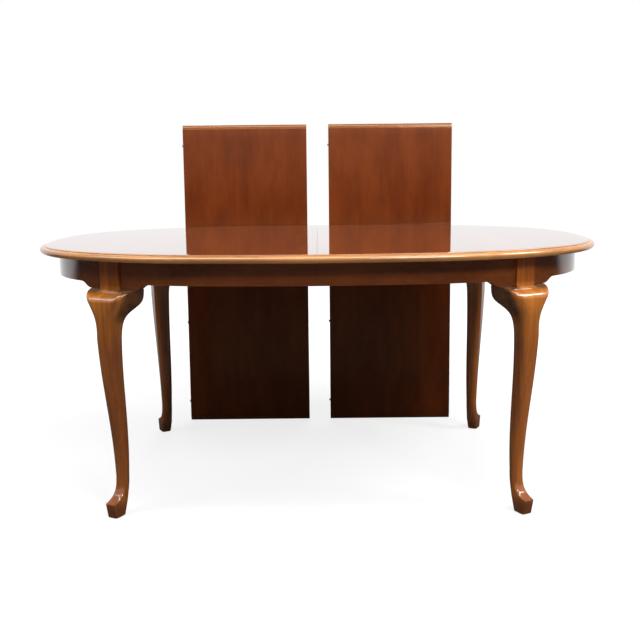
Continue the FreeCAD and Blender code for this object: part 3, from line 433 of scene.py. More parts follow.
# Layers of wood's figure: cycles a metre along and across the grain, detail, roughness, and the range used
FIGURE = {
    "ribbons": (0.7, 11.0, 2.0, 0.50, 0.30, 0.70),
    "clouds": (4.5, 14.0, 5.0, 0.62, 0.30, 0.70),
    "lines": (2.2, 95.0, 4.0, 0.62, 0.30, 0.72),
    "pores": (28.0, 1100.0, 2.0, 0.50, 0.60, 0.72),
}
RIBBON_SHARE = 0.62
LINE_ROUGHNESS = 0.05
PORE_TONE = (0.35, 0.28, 0.24, 1.0)
GRAIN_RELIEF = 0.4 * MM
LACQUER_IOR = 1.5
COAT_ROUGHNESS = 0.03

# Mottle of plastic and metal: ranges of its noise used for colour and sheen, and how far the sheen varies
MOTTLE_TONES = (0.35, 0.65)
MOTTLE_SHEEN = (0.3, 0.7)
MOTTLE_ROUGHNESS = (-0.06, 0.08)

# Painted light and shade on the legs by height in metres: painted shade at the foot, painted light on the
# knee
LEG_PAINTED_LIGHT_AND_SHADE = (
    (0.026, (0.50, 0.47, 0.47)),
    (0.050, (0.86, 0.86, 0.86)),
    (0.110, (0.96, 0.96, 0.96)),
    (0.480, (0.95, 0.95, 0.95)),
    (0.570, (1.22, 1.34, 1.20)),
    (0.625, (1.65, 1.95, 2.00)),
    (0.648, (1.65, 1.95, 2.00)),
    (0.660, (1.05, 1.05, 1.05)),
)

# Painted shade on the ears and in the hollow under them, and the metres over which it comes in: aside,
# inwards, at their foot and top
EAR_PAINTED_SHADE = (0.27, 0.29, 0.40, 1)
EAR_ASIDE = (0.020, 0.036)
EAR_INWARDS = (-0.030, -0.006)
EAR_FOOT = (0.535, 0.585)
EAR_TOP = (0.646, 0.648)


def wire(tree, node, inputs):
    """Fills a node's inputs: a socket is linked, anything else is set."""
    for key, value in inputs.items():
        if isinstance(value, bpy.types.NodeSocket):
            tree.links.new(value, node.inputs[key])
        else:
            node.inputs[key].default_value = value


def add_node(tree, kind, *values, **options):
    """Adds a shader node with these options and its first inputs filled."""
    node = tree.nodes.new(f"ShaderNode{kind}")
    for name, value in options.items():
        setattr(node, name, value)
    wire(tree, node, dict(enumerate(values)))
    return node


def remap(tree, source, low, high, to_low=0.0, to_high=1.0):
    """Maps a value from one range to another, smoothly."""
    values = (source, low, high, to_low, to_high)
    return add_node(tree, "MapRange", *values, interpolation_type="SMOOTHSTEP").outputs[0]


def combine(tree, operation, *values):
    """Result of a Math node on these values."""
    return add_node(tree, "Math", *values, operation=operation).outputs[0]


def between(tree, factor, first, second):
    """Mixes two values."""
    node = add_node(tree, "Mix", factor)
    wire(tree, node, {2: first, 3: second})
    return node.outputs[0]


def blend(tree, mode, factor, first, second):
    """Mixes two colours."""
    node = add_node(tree, "Mix", factor, data_type="RGBA", blend_type=mode)
    wire(tree, node, {6: first, 7: second})
    return node.outputs[2]


def split(tree, vector):
    """X, Y and Z of a vector."""
    return add_node(tree, "SeparateXYZ", vector).outputs


def stretched_noise(tree, source, stretch, detail, roughness):
    """Noise drawn out along the grain: stretch is cycles a metre along, across and through it."""
    scaled = add_node(tree, "VectorMath", source, stretch, operation="MULTIPLY").outputs[0]
    noise = add_node(tree, "TexNoise")
    wire(tree, noise, {"Vector": scaled, "Scale": 1.0, "Detail": detail, "Roughness": roughness})
    return noise.outputs[0]


def new_material(name):
    """Material with its node tree and shader."""
    material = bpy.data.materials.new(name)
    material.use_nodes = True
    tree = material.node_tree
    return material, tree, tree.nodes["Principled BSDF"]


def new_group(name, inputs, outputs):
    """Shader node group with these sockets: (group, what it is given, its output node)."""
    group = bpy.data.node_groups.new(name, "ShaderNodeTree")
    for way, sockets in (("INPUT", inputs), ("OUTPUT", outputs)):
        for socket, kind in sockets.items():
            group.interface.new_socket(name=socket, in_out=way, socket_type=f"NodeSocket{kind}")
    return group, group.nodes.new("NodeGroupInput").outputs, group.nodes.new("NodeGroupOutput")


def wood_figure_group():
    """Wood's figure, made once: broad ribbons, clouds, growth lines and pores."""
    found = bpy.data.node_groups.get("Wood figure")
    if found:
        return found
    inputs = {"Grain": "Vector", "Light": "Color", "Dark": "Color"}
    inputs.update({"Pores": "Float", "Roughness": "Float", "Mottle": "Float"})
    outputs = {"Color": "Color", "Roughness": "Float", "Height": "Float"}
    group, given, result = new_group("Wood figure", inputs, outputs)
    layers = {}
    for name, (along, across, detail, roughness, low, high) in FIGURE.items():
        noise = stretched_noise(group, given["Grain"], (along, across, across), detail, roughness)
        layers[name] = remap(group, noise, low, high)
    fine = combine(group, "MULTIPLY", layers["lines"], 1 - RIBBON_SHARE)
    stripes = combine(group, "MULTIPLY_ADD", layers["ribbons"], RIBBON_SHARE, fine)
    figure = between(group, given["Mottle"], stripes, layers["clouds"])
    base = blend(group, "MIX", figure, given["Dark"], given["Light"])
    specks = combine(group, "MULTIPLY", layers["pores"], given["Pores"])
    shaded = blend(group, "MULTIPLY", specks, base, PORE_TONE)
    rough = combine(group, "MULTIPLY_ADD", layers["lines"], LINE_ROUGHNESS, given["Roughness"])
    wire(group, result, {"Color": shaded, "Roughness": rough, "Height": stripes})
    return group


def fine_mottle_group():
    """Fine mottle of plastic and metal, made once. Cycles are to the metre."""
    found = bpy.data.node_groups.get("Fine mottle")
    if found:
        return found
    inputs = {"Place": "Vector", "Cycles": "Float", "Light": "Color", "Dark": "Color", "Roughness": "Float"}
    group, given, result = new_group("Fine mottle", inputs, {"Color": "Color", "Roughness": "Float"})
    noise = stretched_noise(group, given["Place"], given["Cycles"], detail=3.0, roughness=0.6)
    tone = blend(group, "MIX", remap(group, noise, *MOTTLE_TONES), given["Dark"], given["Light"])
    spread = remap(group, noise, *MOTTLE_SHEEN, *MOTTLE_ROUGHNESS)
    rough = combine(group, "ADD", spread, given["Roughness"])
    wire(group, result, {"Color": tone, "Roughness": rough})
    return group


def wood(
    name,
    light,
    dark,
    roughness,
    pores=0.3,
    mottle=0.2,
    coat=0.0,
    bump=0.0,
    specular=0.5,
    tint=CLEAR,
    axes=None,
):
    """Wood material, made once. It reads the grain attribute, or Object coordinates turned by axes."""
    known = bpy.data.materials.get(name)
    if known:
        return known
    material, tree, shader = new_material(name)
    if axes is None:
        grain = add_node(tree, "Attribute", attribute_name="grain").outputs["Vector"]
    else:
        turn = add_node(tree, "Mapping")
        place = add_node(tree, "TexCoord").outputs["Object"]
        wire(tree, turn, {"Vector": place, "Rotation": axes})
        grain = turn.outputs["Vector"]
    figure = add_node(tree, "Group", node_tree=wood_figure_group())
    wire(tree, figure, {"Grain": grain, "Light": (*light, 1), "Dark": (*dark, 1)})
    wire(tree, figure, {"Pores": pores, "Roughness": roughness, "Mottle": mottle})
    raised = add_node(tree, "Bump")
    wire(tree, raised, {"Strength": bump, "Distance": GRAIN_RELIEF, "Height": figure.outputs["Height"]})
    surface = {
        "Base Color": figure.outputs["Color"],
        "Roughness": figure.outputs["Roughness"],
        "Normal": raised.outputs["Normal"],
        "IOR": LACQUER_IOR,
        "Specular IOR Level": specular,
        "Specular Tint": tint,
        "Coat Weight": coat,
        "Coat Roughness": COAT_ROUGHNESS,
    }
    wire(tree, shader, surface)
    return material


def top_lacquer(finishes):
    """Deep gloss on the top, its figure across the table."""
    tones = (finishes.top_light, finishes.top_dark)
    return wood("top_lacquer", *tones, roughness=0.02, pores=0.25, mottle=0.28, coat=1.0, axes=ACROSS_TABLE)


def leaf_lacquer(finishes):
    """Cloudy amber gloss on the leaves."""
    tones = (finishes.leaf_light, finishes.leaf_dark)
    return wood("leaf_lacquer", *tones, roughness=0.10, mottle=0.55, specular=0.6, tint=AMBER, axes=UPRIGHT)


def leaf_edge_lacquer(finishes):
    """Amber satin on the leaves' moulded ends."""
    tones = (finishes.leaf_edge_light, finishes.leaf_edge_dark)
    return wood("leaf_edge_lacquer", *tones, roughness=0.16, specular=0.6, tint=AMBER)


def edge_lacquer(finishes):
    """Golden satin on the top's moulded edge."""
    tones = (finishes.edge_light, finishes.edge_dark)
    return wood("edge_lacquer", *tones, roughness=0.18, coat=0.5)


def apron_lacquer(finishes):
    """Dark gloss on the aprons."""
    tones = (finishes.apron_light, finishes.apron_dark)
    return wood("apron_lacquer", *tones, roughness=0.10, coat=0.9, bump=0.02)


def leg_lacquer(finishes):
    """Satin on the legs, with painted light on the knees and painted shade at the feet by height, and
    painted shade on the ears and in the hollow under them.
    """
    known = bpy.data.materials.get("leg_lacquer")
    if known:
        return known
    tones = (finishes.leg_light, finishes.leg_dark)
    material = wood("leg_lacquer", *tones, roughness=0.17, coat=0.5, bump=0.02)
    tree = material.node_tree
    shader = tree.nodes["Principled BSDF"]
    plain = shader.inputs["Base Color"].links[0].from_socket
    place = add_node(tree, "TexCoord").outputs["Object"]
    # Ramp by height that paints light on the knees and shade at the feet
    tone = add_node(tree, "ValToRGB", split(tree, place)["Z"])
    stops = tone.color_ramp.elements
    stops[0].position = LEG_PAINTED_LIGHT_AND_SHADE[0][0]
    stops[1].position = LEG_PAINTED_LIGHT_AND_SHADE[-1][0]
    for height, _ in LEG_PAINTED_LIGHT_AND_SHADE[1:-1]:
        stops.new(height)
    for stop, (_, shade) in zip(stops, LEG_PAINTED_LIGHT_AND_SHADE):
        stop.color = (*shade, 1)
    knee_light_foot_shade = blend(tree, "MULTIPLY", 1.0, plain, tone.outputs["Color"])
    # Painted shade on the ears and in the hollow under them
    shaded = blend(tree, "MULTIPLY", ear_painted_shade_mask(tree), knee_light_foot_shade, EAR_PAINTED_SHADE)
    wire(tree, shader, {"Base Color": shaded})
    return material


def ear_painted_shade_mask(tree):
    """Where shade is painted: 1 on the ears and in the hollow under them, 0 on the knee's face and the post.
    """
    place = split(tree, add_node(tree, "Attribute", attribute_name="leg_place").outputs["Vector"])
    mask = remap(tree, combine(tree, "ABSOLUTE", place["X"]), *EAR_ASIDE)
    limits = (("Y", EAR_INWARDS, (0.0, 1.0)), ("Z", EAR_FOOT, (0.0, 1.0)), ("Z", EAR_TOP, (1.0, 0.0)))
    for axis, span, levels in limits:
        mask = combine(tree, "MULTIPLY", mask, remap(tree, place[axis], *span, *levels))
    return mask


def bare_softwood(finishes):
    """Unfinished wood of the corner and glue blocks."""
    tones = (finishes.frame_light, finishes.frame_dark)
    return wood("bare_softwood", *tones, roughness=0.55, pores=0.4, bump=0.3, specular=0.3, axes=UNTURNED)


def bare_hardwood(finishes):
    """Unfinished wood of the slides, rails and dowels."""
    tones = (finishes.slide_light, finishes.slide_dark)
    return wood("bare_hardwood", *tones, roughness=0.45, bump=0.2, specular=0.3, axes=UNTURNED)


def mottled(name, light, dark, roughness, cycles, metallic):
    """Plastic or metal with a fine mottle, made once."""
    known = bpy.data.materials.get(name)
    if known:
        return known
    material, tree, shader = new_material(name)
    mottle = add_node(tree, "Group", node_tree=fine_mottle_group())
    place = add_node(tree, "TexCoord").outputs["Object"]
    wire(tree, mottle, {"Place": place, "Cycles": cycles, "Roughness": roughness})
    wire(tree, mottle, {"Light": (*light, 1), "Dark": (*dark, 1)})
    tone, rough = mottle.outputs["Color"], mottle.outputs["Roughness"]
    wire(tree, shader, {"Base Color": tone, "Roughness": rough, "Metallic": metallic})
    return material


def moulded_plastic(finishes):
    """Pale plastic of the racks and pinions."""
    tones = (finishes.gear_light, finishes.gear_dark)
    return mottled("moulded_plastic", *tones, roughness=0.42, cycles=300.0, metallic=0.0)


def plated_steel(finishes):
    """Plated steel of the bolts, screws, axles and glides."""
    tones = (finishes.bolt_light, finishes.bolt_dark)
    return mottled("plated_steel", *tones, roughness=0.32, cycles=500.0, metallic=1.0)


def lock_plate(finishes):
    """Yellowish plated steel of the locks."""
    tones = (finishes.lock_light, finishes.lock_dark)
    return mottled("lock_plate", *tones, roughness=0.36, cycles=500.0, metallic=1.0)


# Pieces


def edge_section(sizes):
    """Moulded edge's section as (inset, drop) points: flat, quirk, thumbnail nose and undercut."""
    steps = 7
    turns = [math.pi / 2 * step / steps for step in range(steps + 1)]
    nose_height = sizes.nose_depth - sizes.quirk_depth
    chin_height = sizes.top_thickness - sizes.nose_depth
    nose = [
        (sizes.quirk_inset * (1 - math.sin(a)), sizes.quirk_depth + nose_height * (1 - math.cos(a)))
        for a in turns
    ]
    chin = [
        (sizes.undercut * (1 - math.cos(a)), sizes.nose_depth + chin_height * math.sin(a)) for a in turns[1:]
    ]
    arris = sizes.quirk_arris
    flat = [(sizes.band_width, sizes.top_thickness), (sizes.band_width, 0.0)]
    flat += [(sizes.quirk_inset + arris * (1 - math.sin(a)), arris * (1 - math.cos(a))) for a in turns[::2]]
    return flat + [(sizes.quirk_inset, arris)] + nose + chin


class OVALTABLE_OT_top(bpy.types.Operator):
    """Two half-oval panels with their moulded edges"""

    bl_idname = "oval_table.top"
    bl_label = "Top and moulded edge"

    def execute(self, context):
        sizes, _, finishes = settings(context)
        arcs = oval_arcs(sizes)
        for side, sign in SIDES:
            self.make_edge(sizes, arcs, finishes, side, sign)
            dress_solid(f"top_panel_{side}", top_lacquer(finishes), PANEL_EASE)
        return {"FINISHED"}

    def make_edge(self, sizes, arcs, finishes, side, sign):
        """Moulded edge of one half, its flat band finished like the panel."""
        bm = bmesh.new()
        section = [(inset, sizes.height - drop) for inset, drop in edge_section(sizes)]
        sweep_rim(bm, section, arcs, EDGE_FACET)
        keep_beyond(bm, (sizes.seam_gap / 2, 0, 0), (1, 0, 0))
        mirror_half(bm, sign)
        name = f"edge_{side}"
        node = f"edge_moulding_{side}"
        edge = finish_piece(name, bm, edge_lacquer(finishes), f"{side}_half", [node], rim_grain)
        dress_band(edge, top_lacquer(finishes), Vector((0, 0, 1)))


def leg_matrix(sizes, leg, arcs):
    """Frame of the front right leg: x along the post's face, y inwards, z up."""
    face = rim_point(arcs, leg.turn - 90, sizes.apron_inset - leg.post_proud)
    return Matrix.Translation(face) @ Matrix.Rotation(math.radians(leg.turn), 4, "Z")


class OVALTABLE_OT_aprons(bpy.types.Operator):
    """Curved aprons that dip to the knees, in three lengths on each half"""

    bl_idname = "oval_table.aprons"
    bl_label = "Aprons"

    def execute(self, context):
        sizes, leg, finishes = settings(context)
        arcs = oval_arcs(sizes)
        place = leg_matrix(sizes, leg, arcs)
        for side, sign in SIDES:
            for part in ("end_apron", "side_apron_front", "side_apron_rear"):
                self.make_length(sizes, leg, arcs, place, finishes, part, side, sign)
        return {"FINISHED"}

    def make_length(self, sizes, leg, arcs, place, finishes, part, side, sign):
        """One length of apron, with its lower edges eased and its ends dipping to the knees."""
        bm = bmesh.new()
        top = sizes.height - sizes.top_thickness
        bottom = top - sizes.apron_depth
        outer = sizes.apron_inset
        inner = sizes.apron_inset + sizes.apron_thickness
        eased = bottom + APRON_EASE
        section = [
            (outer, top),
            (outer, eased),
            (outer + APRON_CORNER, bottom + APRON_CORNER),
            (outer + APRON_EASE, bottom),
            (inner - APRON_EASE, bottom),
            (inner, eased),
            (inner, top),
        ]
        sweep_rim(bm, section, arcs, APRON_FACET)
        self.cut_length(bm, leg, place, part, sizes)
        middle = (top + bottom) / 2
        for vert in bm.verts:
            if vert.co.z < middle:
                vert.co.z -= self.dip(vert.co, sizes, leg, place)
        mirror_half(bm, sign)
        name = f"{part}_skin_{side}"
        node = f"{part}_{side}"
        body = f"{side}_half"
        apron = finish_piece(name, bm, apron_lacquer(finishes), body, [node], rim_grain)
        even_shading(apron)

    def cut_length(self, bm, leg, place, part, sizes):
        """Keeps one length: the end between the posts, or a side between post and seam."""
        along = place.to_3x3() @ Vector((1, 0, 0))
        half_post = Vector((leg.post_width / 2, 0, 0))
        front, rear = Vector((1, 1, 1)), Vector((1, -1, 1))
        if part == "end_apron":
            for way in (front, rear):
                keep_beyond(bm, (place @ half_post) * way, along * way)
            return
        way = front if part == "side_apron_front" else rear
        keep_beyond(bm, (0, 0, 0), Vector((0, -1, 0)) * way)
        keep_beyond(bm, (place @ -half_post) * way, -along * way)
        seam = keep_beyond(bm, (0, 0, 0), (1, 0, 0))
        bevel_edges(bm, seam, sizes.seam_gap, segments=1)

    def dip(self, co, sizes, leg, place):
        """Depth of the dip at a point, by its distance along the nearest post's face."""
        near = Vector((co.x, -abs(co.y), 0))
        distance = abs((place.inverted() @ near).x) - leg.ear_half_width
        if distance > sizes.dip_length:
            return 0.0
        share = max(0.0, distance / sizes.dip_length)
        return sizes.apron_dip * (1 - 2 * share**2 if share < 0.5 else 2 * (1 - share) ** 2)


# Shares of the shank's height over which it sways
SWAY_START = 0.05
SWAY_END = 1.03

# Largest corner radius as a share of half the shank, and the power by which the knee's corners grow
CORNER_LIMIT = 0.9
CORNER_GROWTH = 1.5

# Distance of the ears' back from the post's back
BACK_CLEARANCE = 1.0 * MM

# Share of the foot's rise below its first full section, and how sections crowd to toe and crown
SOLE_SHARE = 0.05
TOE_CROWDING = 1.6
CROWN_CROWDING = 1.5


def rounded_ring(back, front, back_half, front_half, back_corner, front_corner):
    """Points of a rounded trapezium as (t, n), in the same order and number for every section."""
    corner_steps = 6
    side_steps = 5
    corners = [
        (Vector((-back_half, back)), back_corner),
        (Vector((-front_half, front)), front_corner),
        (Vector((front_half, front)), front_corner),
        (Vector((back_half, back)), back_corner),
    ]
    arcs = []
    for index, (corner, radius) in enumerate(corners):
        before = (corners[index - 1][0] - corner).normalized()
        after = (corners[(index + 1) % 4][0] - corner).normalized()
        half_angle = before.angle(after) / 2
        start = corner + before * (radius / math.tan(half_angle))
        end = corner + after * (radius / math.tan(half_angle))
        centre = corner + (before + after).normalized() * (radius / math.sin(half_angle))
        arc = []
        for step in range(corner_steps + 1):
            ray = (start - centre).normalized().slerp((end - centre).normalized(), step / corner_steps)
            arc.append(centre + ray * radius)
        arcs.append(arc)
    points = []
    for index, arc in enumerate(arcs):
        points += arc
        following = arcs[(index + 1) % 4][0]
        points += [arc[-1].lerp(following, step / side_steps) for step in range(1, side_steps)]
    return points


def shank_section(z, knee_top, leg):
    """Back, front, half widths and corner radii of the tapering, swaying shank."""
    share = (z - leg.ankle_height) / (knee_top - leg.knee_length - leg.ankle_height)
    half = (leg.ankle_side + (leg.shank_side - leg.ankle_side) * share) / 2
    middle = leg.sway_out + (leg.sway_in - leg.sway_out) * cosine_fall(share, SWAY_START, SWAY_END)
    corner = min(leg.shank_corner, CORNER_LIMIT * half)
    return middle - half, middle + half, half, half, corner, corner


def ear_sweep(depth, leg):
    """How far the ears still spread at this depth, from 1 at the knee's top to 0 at its bottom."""
    fall = 1 / (1 + (depth / leg.ear_drop) ** leg.ear_power)
    rest = 1 / (1 + (leg.knee_length / leg.ear_drop) ** leg.ear_power)
    return (fall - rest) / (1 - rest)


def knee_section(depth, knee_top, leg):
    """Section this far below the knee's top: the crown rolls out and the ears sweep in."""
    back, front, half, _, corner, _ = shank_section(knee_top - leg.knee_length, knee_top, leg)
    share = depth / leg.knee_length
    crown = max(0.0, 1 - depth / leg.knee_crown)
    if crown > 0:
        reach = (leg.knee_reach + leg.knee_backset) * (1 - crown**2) ** leg.crown_power - leg.knee_backset
    else:
        reach = front + (leg.knee_reach - front) * cosine_fall(depth, leg.knee_crown, leg.knee_length)
    sweep = ear_sweep(depth, leg)
    knee_back = back + (BACK_CLEARANCE - leg.post_depth - back) * sweep
    spread = leg.ear_half_width - half
    back_half = half + spread * sweep
    front_half = half + spread * (1 - share) ** leg.front_power
    front_corner = leg.front_edge + (corner - leg.front_edge) * share**CORNER_GROWTH
    front_corner += leg.knee_round * math.sin(math.pi * math.sqrt(share))
    back_corner = leg.back_edge + (corner - leg.back_edge) * share
    return knee_back, reach, back_half, front_half, back_corner, front_corner


def foot_section(z, knee_top, leg):
    """Section between the toe's ridge and the ankle: the instep falls away to a squared toe."""
    back, front, half, _, corner, _ = shank_section(leg.ankle_height, knee_top, leg)
    share = (z - leg.toe_height) / (leg.ankle_height - leg.toe_height)
    fade = (1 - share) ** 2
    fall = math.exp(-(z - leg.toe_height) / leg.toe_slope) * (1 - share)
    instep = front + (leg.toe_reach - front) * fall
    heel = back + (-leg.heel_reach - back) * fade
    heel_half = half + (leg.heel_half_width - half) * fade
    toe_half = half + (leg.toe_half_width - half) * fade
    heel_corner = corner + (leg.heel_corner - corner) * fade
    toe_corner = corner + (leg.toe_corner - corner) * fade
    return heel, instep, heel_half, toe_half, heel_corner, toe_corner


class OVALTABLE_OT_legs(bpy.types.Operator):
    """Cabriole legs with their ears, posts and squared feet"""

    bl_idname = "oval_table.legs"
    bl_label = "Legs"

    def execute(self, context):
        sizes, leg, finishes = settings(context)
        arcs = oval_arcs(sizes)
        place = leg_matrix(sizes, leg, arcs)
        top = sizes.height - sizes.top_thickness
        knee_top = top - sizes.apron_depth - sizes.apron_dip
        rings = self.sections(knee_top, leg)
        for side, sign in SIDES:
            for end, depth_sign in ENDS:
                bm = bmesh.new()
                self.loft(bm, rings, place)
                low = (-leg.post_width / 2, 0, knee_top - leg.knee_crown / 2)
                high = (leg.post_width / 2, leg.post_depth, top)
                corners = add_block(bm, low, high, place)
                edges = {edge for vert in corners for edge in vert.link_edges}
                bevel_edges(bm, list(edges), POST_EASE, segments=2)
                bmesh.ops.scale(bm, vec=(sign, depth_sign, 1), verts=bm.verts)
                nodes = [f"leg_{end}_{side}", f"knee_blocks_{end}_{side}"]
                name = f"cabriole_{end}_{side}"
                body = f"{side}_half"
                piece = finish_piece(name, bm, leg_lacquer(finishes), body, nodes, upright_grain)
                self.store_place(piece, place)
                even_shading(piece)
        return {"FINISHED"}

    def store_place(self, piece, place):
        """Keeps each point's place in the leg's own frame, which the finish reads to paint shade on the
        ears.
        """
        to_leg = place.inverted()
        layer = piece.data.attributes.new("leg_place", "FLOAT_VECTOR", "POINT")
        for vert, item in zip(piece.data.vertices, layer.data):
            x, y, z = vert.co
            item.vector = to_leg @ Vector((abs(x), -abs(y), z))

    def sections(self, knee_top, leg):
        """(height, points) from the sole to the knee's top."""
        half, corner = leg.sole_half_width, leg.sole_corner
        sole = (leg.sole_back, leg.sole_front, half, half, corner, corner)
        ridge = foot_section(leg.toe_height, knee_top, leg)
        changes = (SOLE_EASE, -SOLE_EASE, -SOLE_EASE, -SOLE_EASE, 0, 0)
        drawn_in = [size + change for size, change in zip(sole, changes)]
        rings = [(leg.glide, rounded_ring(*drawn_in))]
        steps = 8
        rise = leg.toe_height - leg.glide
        for step in range(steps + 1):
            share = SOLE_SHARE + (1 - SOLE_SHARE) * step / steps
            blended = [a + (b - a) * share for a, b in zip(sole, ridge)]
            rings.append((leg.glide + rise * share, rounded_ring(*blended)))
        steps = 28
        for step in range(1, steps + 1):
            z = leg.toe_height + (leg.ankle_height - leg.toe_height) * (step / steps) ** TOE_CROWDING
            rings.append((z, rounded_ring(*foot_section(z, knee_top, leg))))
        steps = 60
        knee_bottom = knee_top - leg.knee_length
        for step in range(1, steps + 1):
            z = leg.ankle_height + (knee_bottom - leg.ankle_height) * step / steps
            rings.append((z, rounded_ring(*shank_section(z, knee_top, leg))))
        steps = 40
        for step in range(1, steps + 1):
            depth = leg.knee_length * (1 - step / steps) ** CROWN_CROWDING
            rings.append((knee_top - depth, rounded_ring(*knee_section(depth, knee_top, leg))))
        return rings

    def loft(self, bm, rings, place):
        """Grows one closed skin through the sections."""
        first = [place @ Vector((t, -n, rings[0][0])) for t, n in rings[0][1]]
        ring = [bm.verts.new(point) for point in first]
        bm.faces.new(ring)
        for z, points in rings[1:]:
            ring = grow_ring(bm, ring, [place @ Vector((t, -n, z)) for t, n in points])
        bmesh.ops.contextual_create(bm, geom=loop_edges(bm, ring))


class OVALTABLE_OT_leaves(bpy.types.Operator):
    """Two leaves that stand behind the table"""

    bl_idname = "oval_table.leaves"
    bl_label = "Leaves"

    def execute(self, context):
        sizes, _, finishes = settings(context)
        for side, _ in SIDES:
            low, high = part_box(f"leaf_ends_{side}")
            centre = (low[0] + high[0]) / 2
            stand = Matrix.Rotation(math.radians(90 - sizes.leaf_lean), 4, "X")
            lift = -min((stand @ Vector((0, inset, -drop))).z for inset, drop in edge_section(sizes))
            place = Matrix.Translation((centre, sizes.leaf_floor, lift)) @ stand
            dress_solid(f"leaf_panel_{side}", leaf_lacquer(finishes), LEAF_EASE)
            self.make_ends(sizes, finishes, side, place)
        return {"FINISHED"}

    def make_ends(self, sizes, finishes, side, place):
        """Moulded ends of one leaf, their flat band finished like the panel."""
        bm = bmesh.new()
        half = sizes.leaf_width / 2
        section = edge_section(sizes)
        for start, step in ((0.0, 1.0), (sizes.top_width, -1.0)):
            points = [Vector((-half, start + step * inset, -drop)) for inset, drop in section]
            verts = [bm.verts.new(place @ point) for point in points]
            face = bmesh.ops.contextual_create(bm, geom=loop_edges(bm, verts))["faces"]
            grown = bmesh.ops.extrude_face_region(bm, geom=face)["geom"]
            moved = [item for item in grown if isinstance(item, bmesh.types.BMVert)]
            bmesh.ops.translate(bm, vec=(sizes.leaf_width, 0, 0), verts=moved)
        name = f"leaf_mouldings_{side}"
        node = f"leaf_ends_{side}"
        finish = leaf_edge_lacquer(finishes)
        ends = finish_piece(name, bm, finish, f"leaf_{side}", [node], long_grain)
        dress_band(ends, leaf_lacquer(finishes), place.to_3x3() @ Vector((0, 0, 1)))


class OVALTABLE_OT_hidden(bpy.types.Operator):
    """Finishes of the slides, blocks, pins, gears, bolts and locks under the top"""

    bl_idname = "oval_table.hidden"
    bl_label = "Slides and fittings"

    def execute(self, context):
        _, _, finishes = settings(context)
        looks = {
            "frame_wood": bare_softwood(finishes),
            "slide_wood": bare_hardwood(finishes),
            "pin_wood": bare_hardwood(finishes),
            "gear_plastic": moulded_plastic(finishes),
            "steel": plated_steel(finishes),
            "lock_steel": lock_plate(finishes),
        }
        for part in frame["record"]["subparts"]:
            look = looks.get(part["material_slot"])
            if look:
                slots = frame["nodes"][part["node"]].data.materials
                slots.clear()
                slots.append(look)
        return {"FINISHED"}


FLOOR_HALF_SIDE = 30.0
FLOOR_ROUGHNESS = 0.9
FLOOR_TONE = (0.25, 0.25, 0.25, 1.0)

# Floor, backdrop and walls as the gloss shows them: brightness, and the span over which each comes in
MIRRORED_FLOOR_TONE = (0.04, 0.04, 0.04, 1.0)
MIRRORED_FLOOR_LEVEL = 0.9
MIRRORED_FLOOR_SPAN = (0.7, 2.4)
BACKDROP_LEVEL = 0.96
BACKDROP_SPAN = (-0.6, -0.05)
WALL_LEVEL = 0.9
WALL_SPAN = (-0.02, 0.10)
CEILING_SPAN = (0.35, 0.7)

# Name, place and size in metres, and watts
LIGHTS = (
    ("ceiling_strip", (0.0, -0.8, 3.1), (3.6, 0.9), 98.0),
    ("front_light", (1.5, -3.2, 3.0), (1.6, 0.9), 112.0),
    ("left_light", (-2.6, -1.3, 2.8), (2.0, 1.4), 40.0),
    ("right_light", (2.6, -0.8, 2.8), (1.0, 0.9), 70.0),
    ("rear_light", (0.0, 3.2, 3.0), (2.6, 1.0), 60.0),
)
LIGHT_TARGET = Vector((0, 0, 0.6))


def pale_floor(stage):
    """Floor that keeps the shadow near the table, is plain white far away, and is darker in the gloss."""
    material, tree, shader = new_material("pale_floor")
    rays = add_node(tree, "LightPath").outputs
    place = add_node(tree, "TexCoord").outputs["Object"]
    distance = add_node(tree, "VectorMath", place, operation="LENGTH").outputs["Value"]
    white = remap(tree, distance, stage.floor_near, stage.floor_far, stage.floor_glow, 1.0)
    seen = combine(tree, "MULTIPLY", rays["Is Camera Ray"], white)
    levels = (stage.front_room, MIRRORED_FLOOR_LEVEL)
    mirrored = remap(tree, split(tree, place)["Y"], *MIRRORED_FLOOR_SPAN, *levels)
    surface = {
        "Base Color": blend(tree, "MIX", rays["Is Glossy Ray"], FLOOR_TONE, MIRRORED_FLOOR_TONE),
        "Roughness": FLOOR_ROUGHNESS,
        "Specular IOR Level": 0.0,
        "Emission Color": CLEAR,
        "Emission Strength": combine(tree, "MULTIPLY_ADD", rays["Is Glossy Ray"], mirrored, seen),
    }
    wire(tree, shader, surface)
    return material


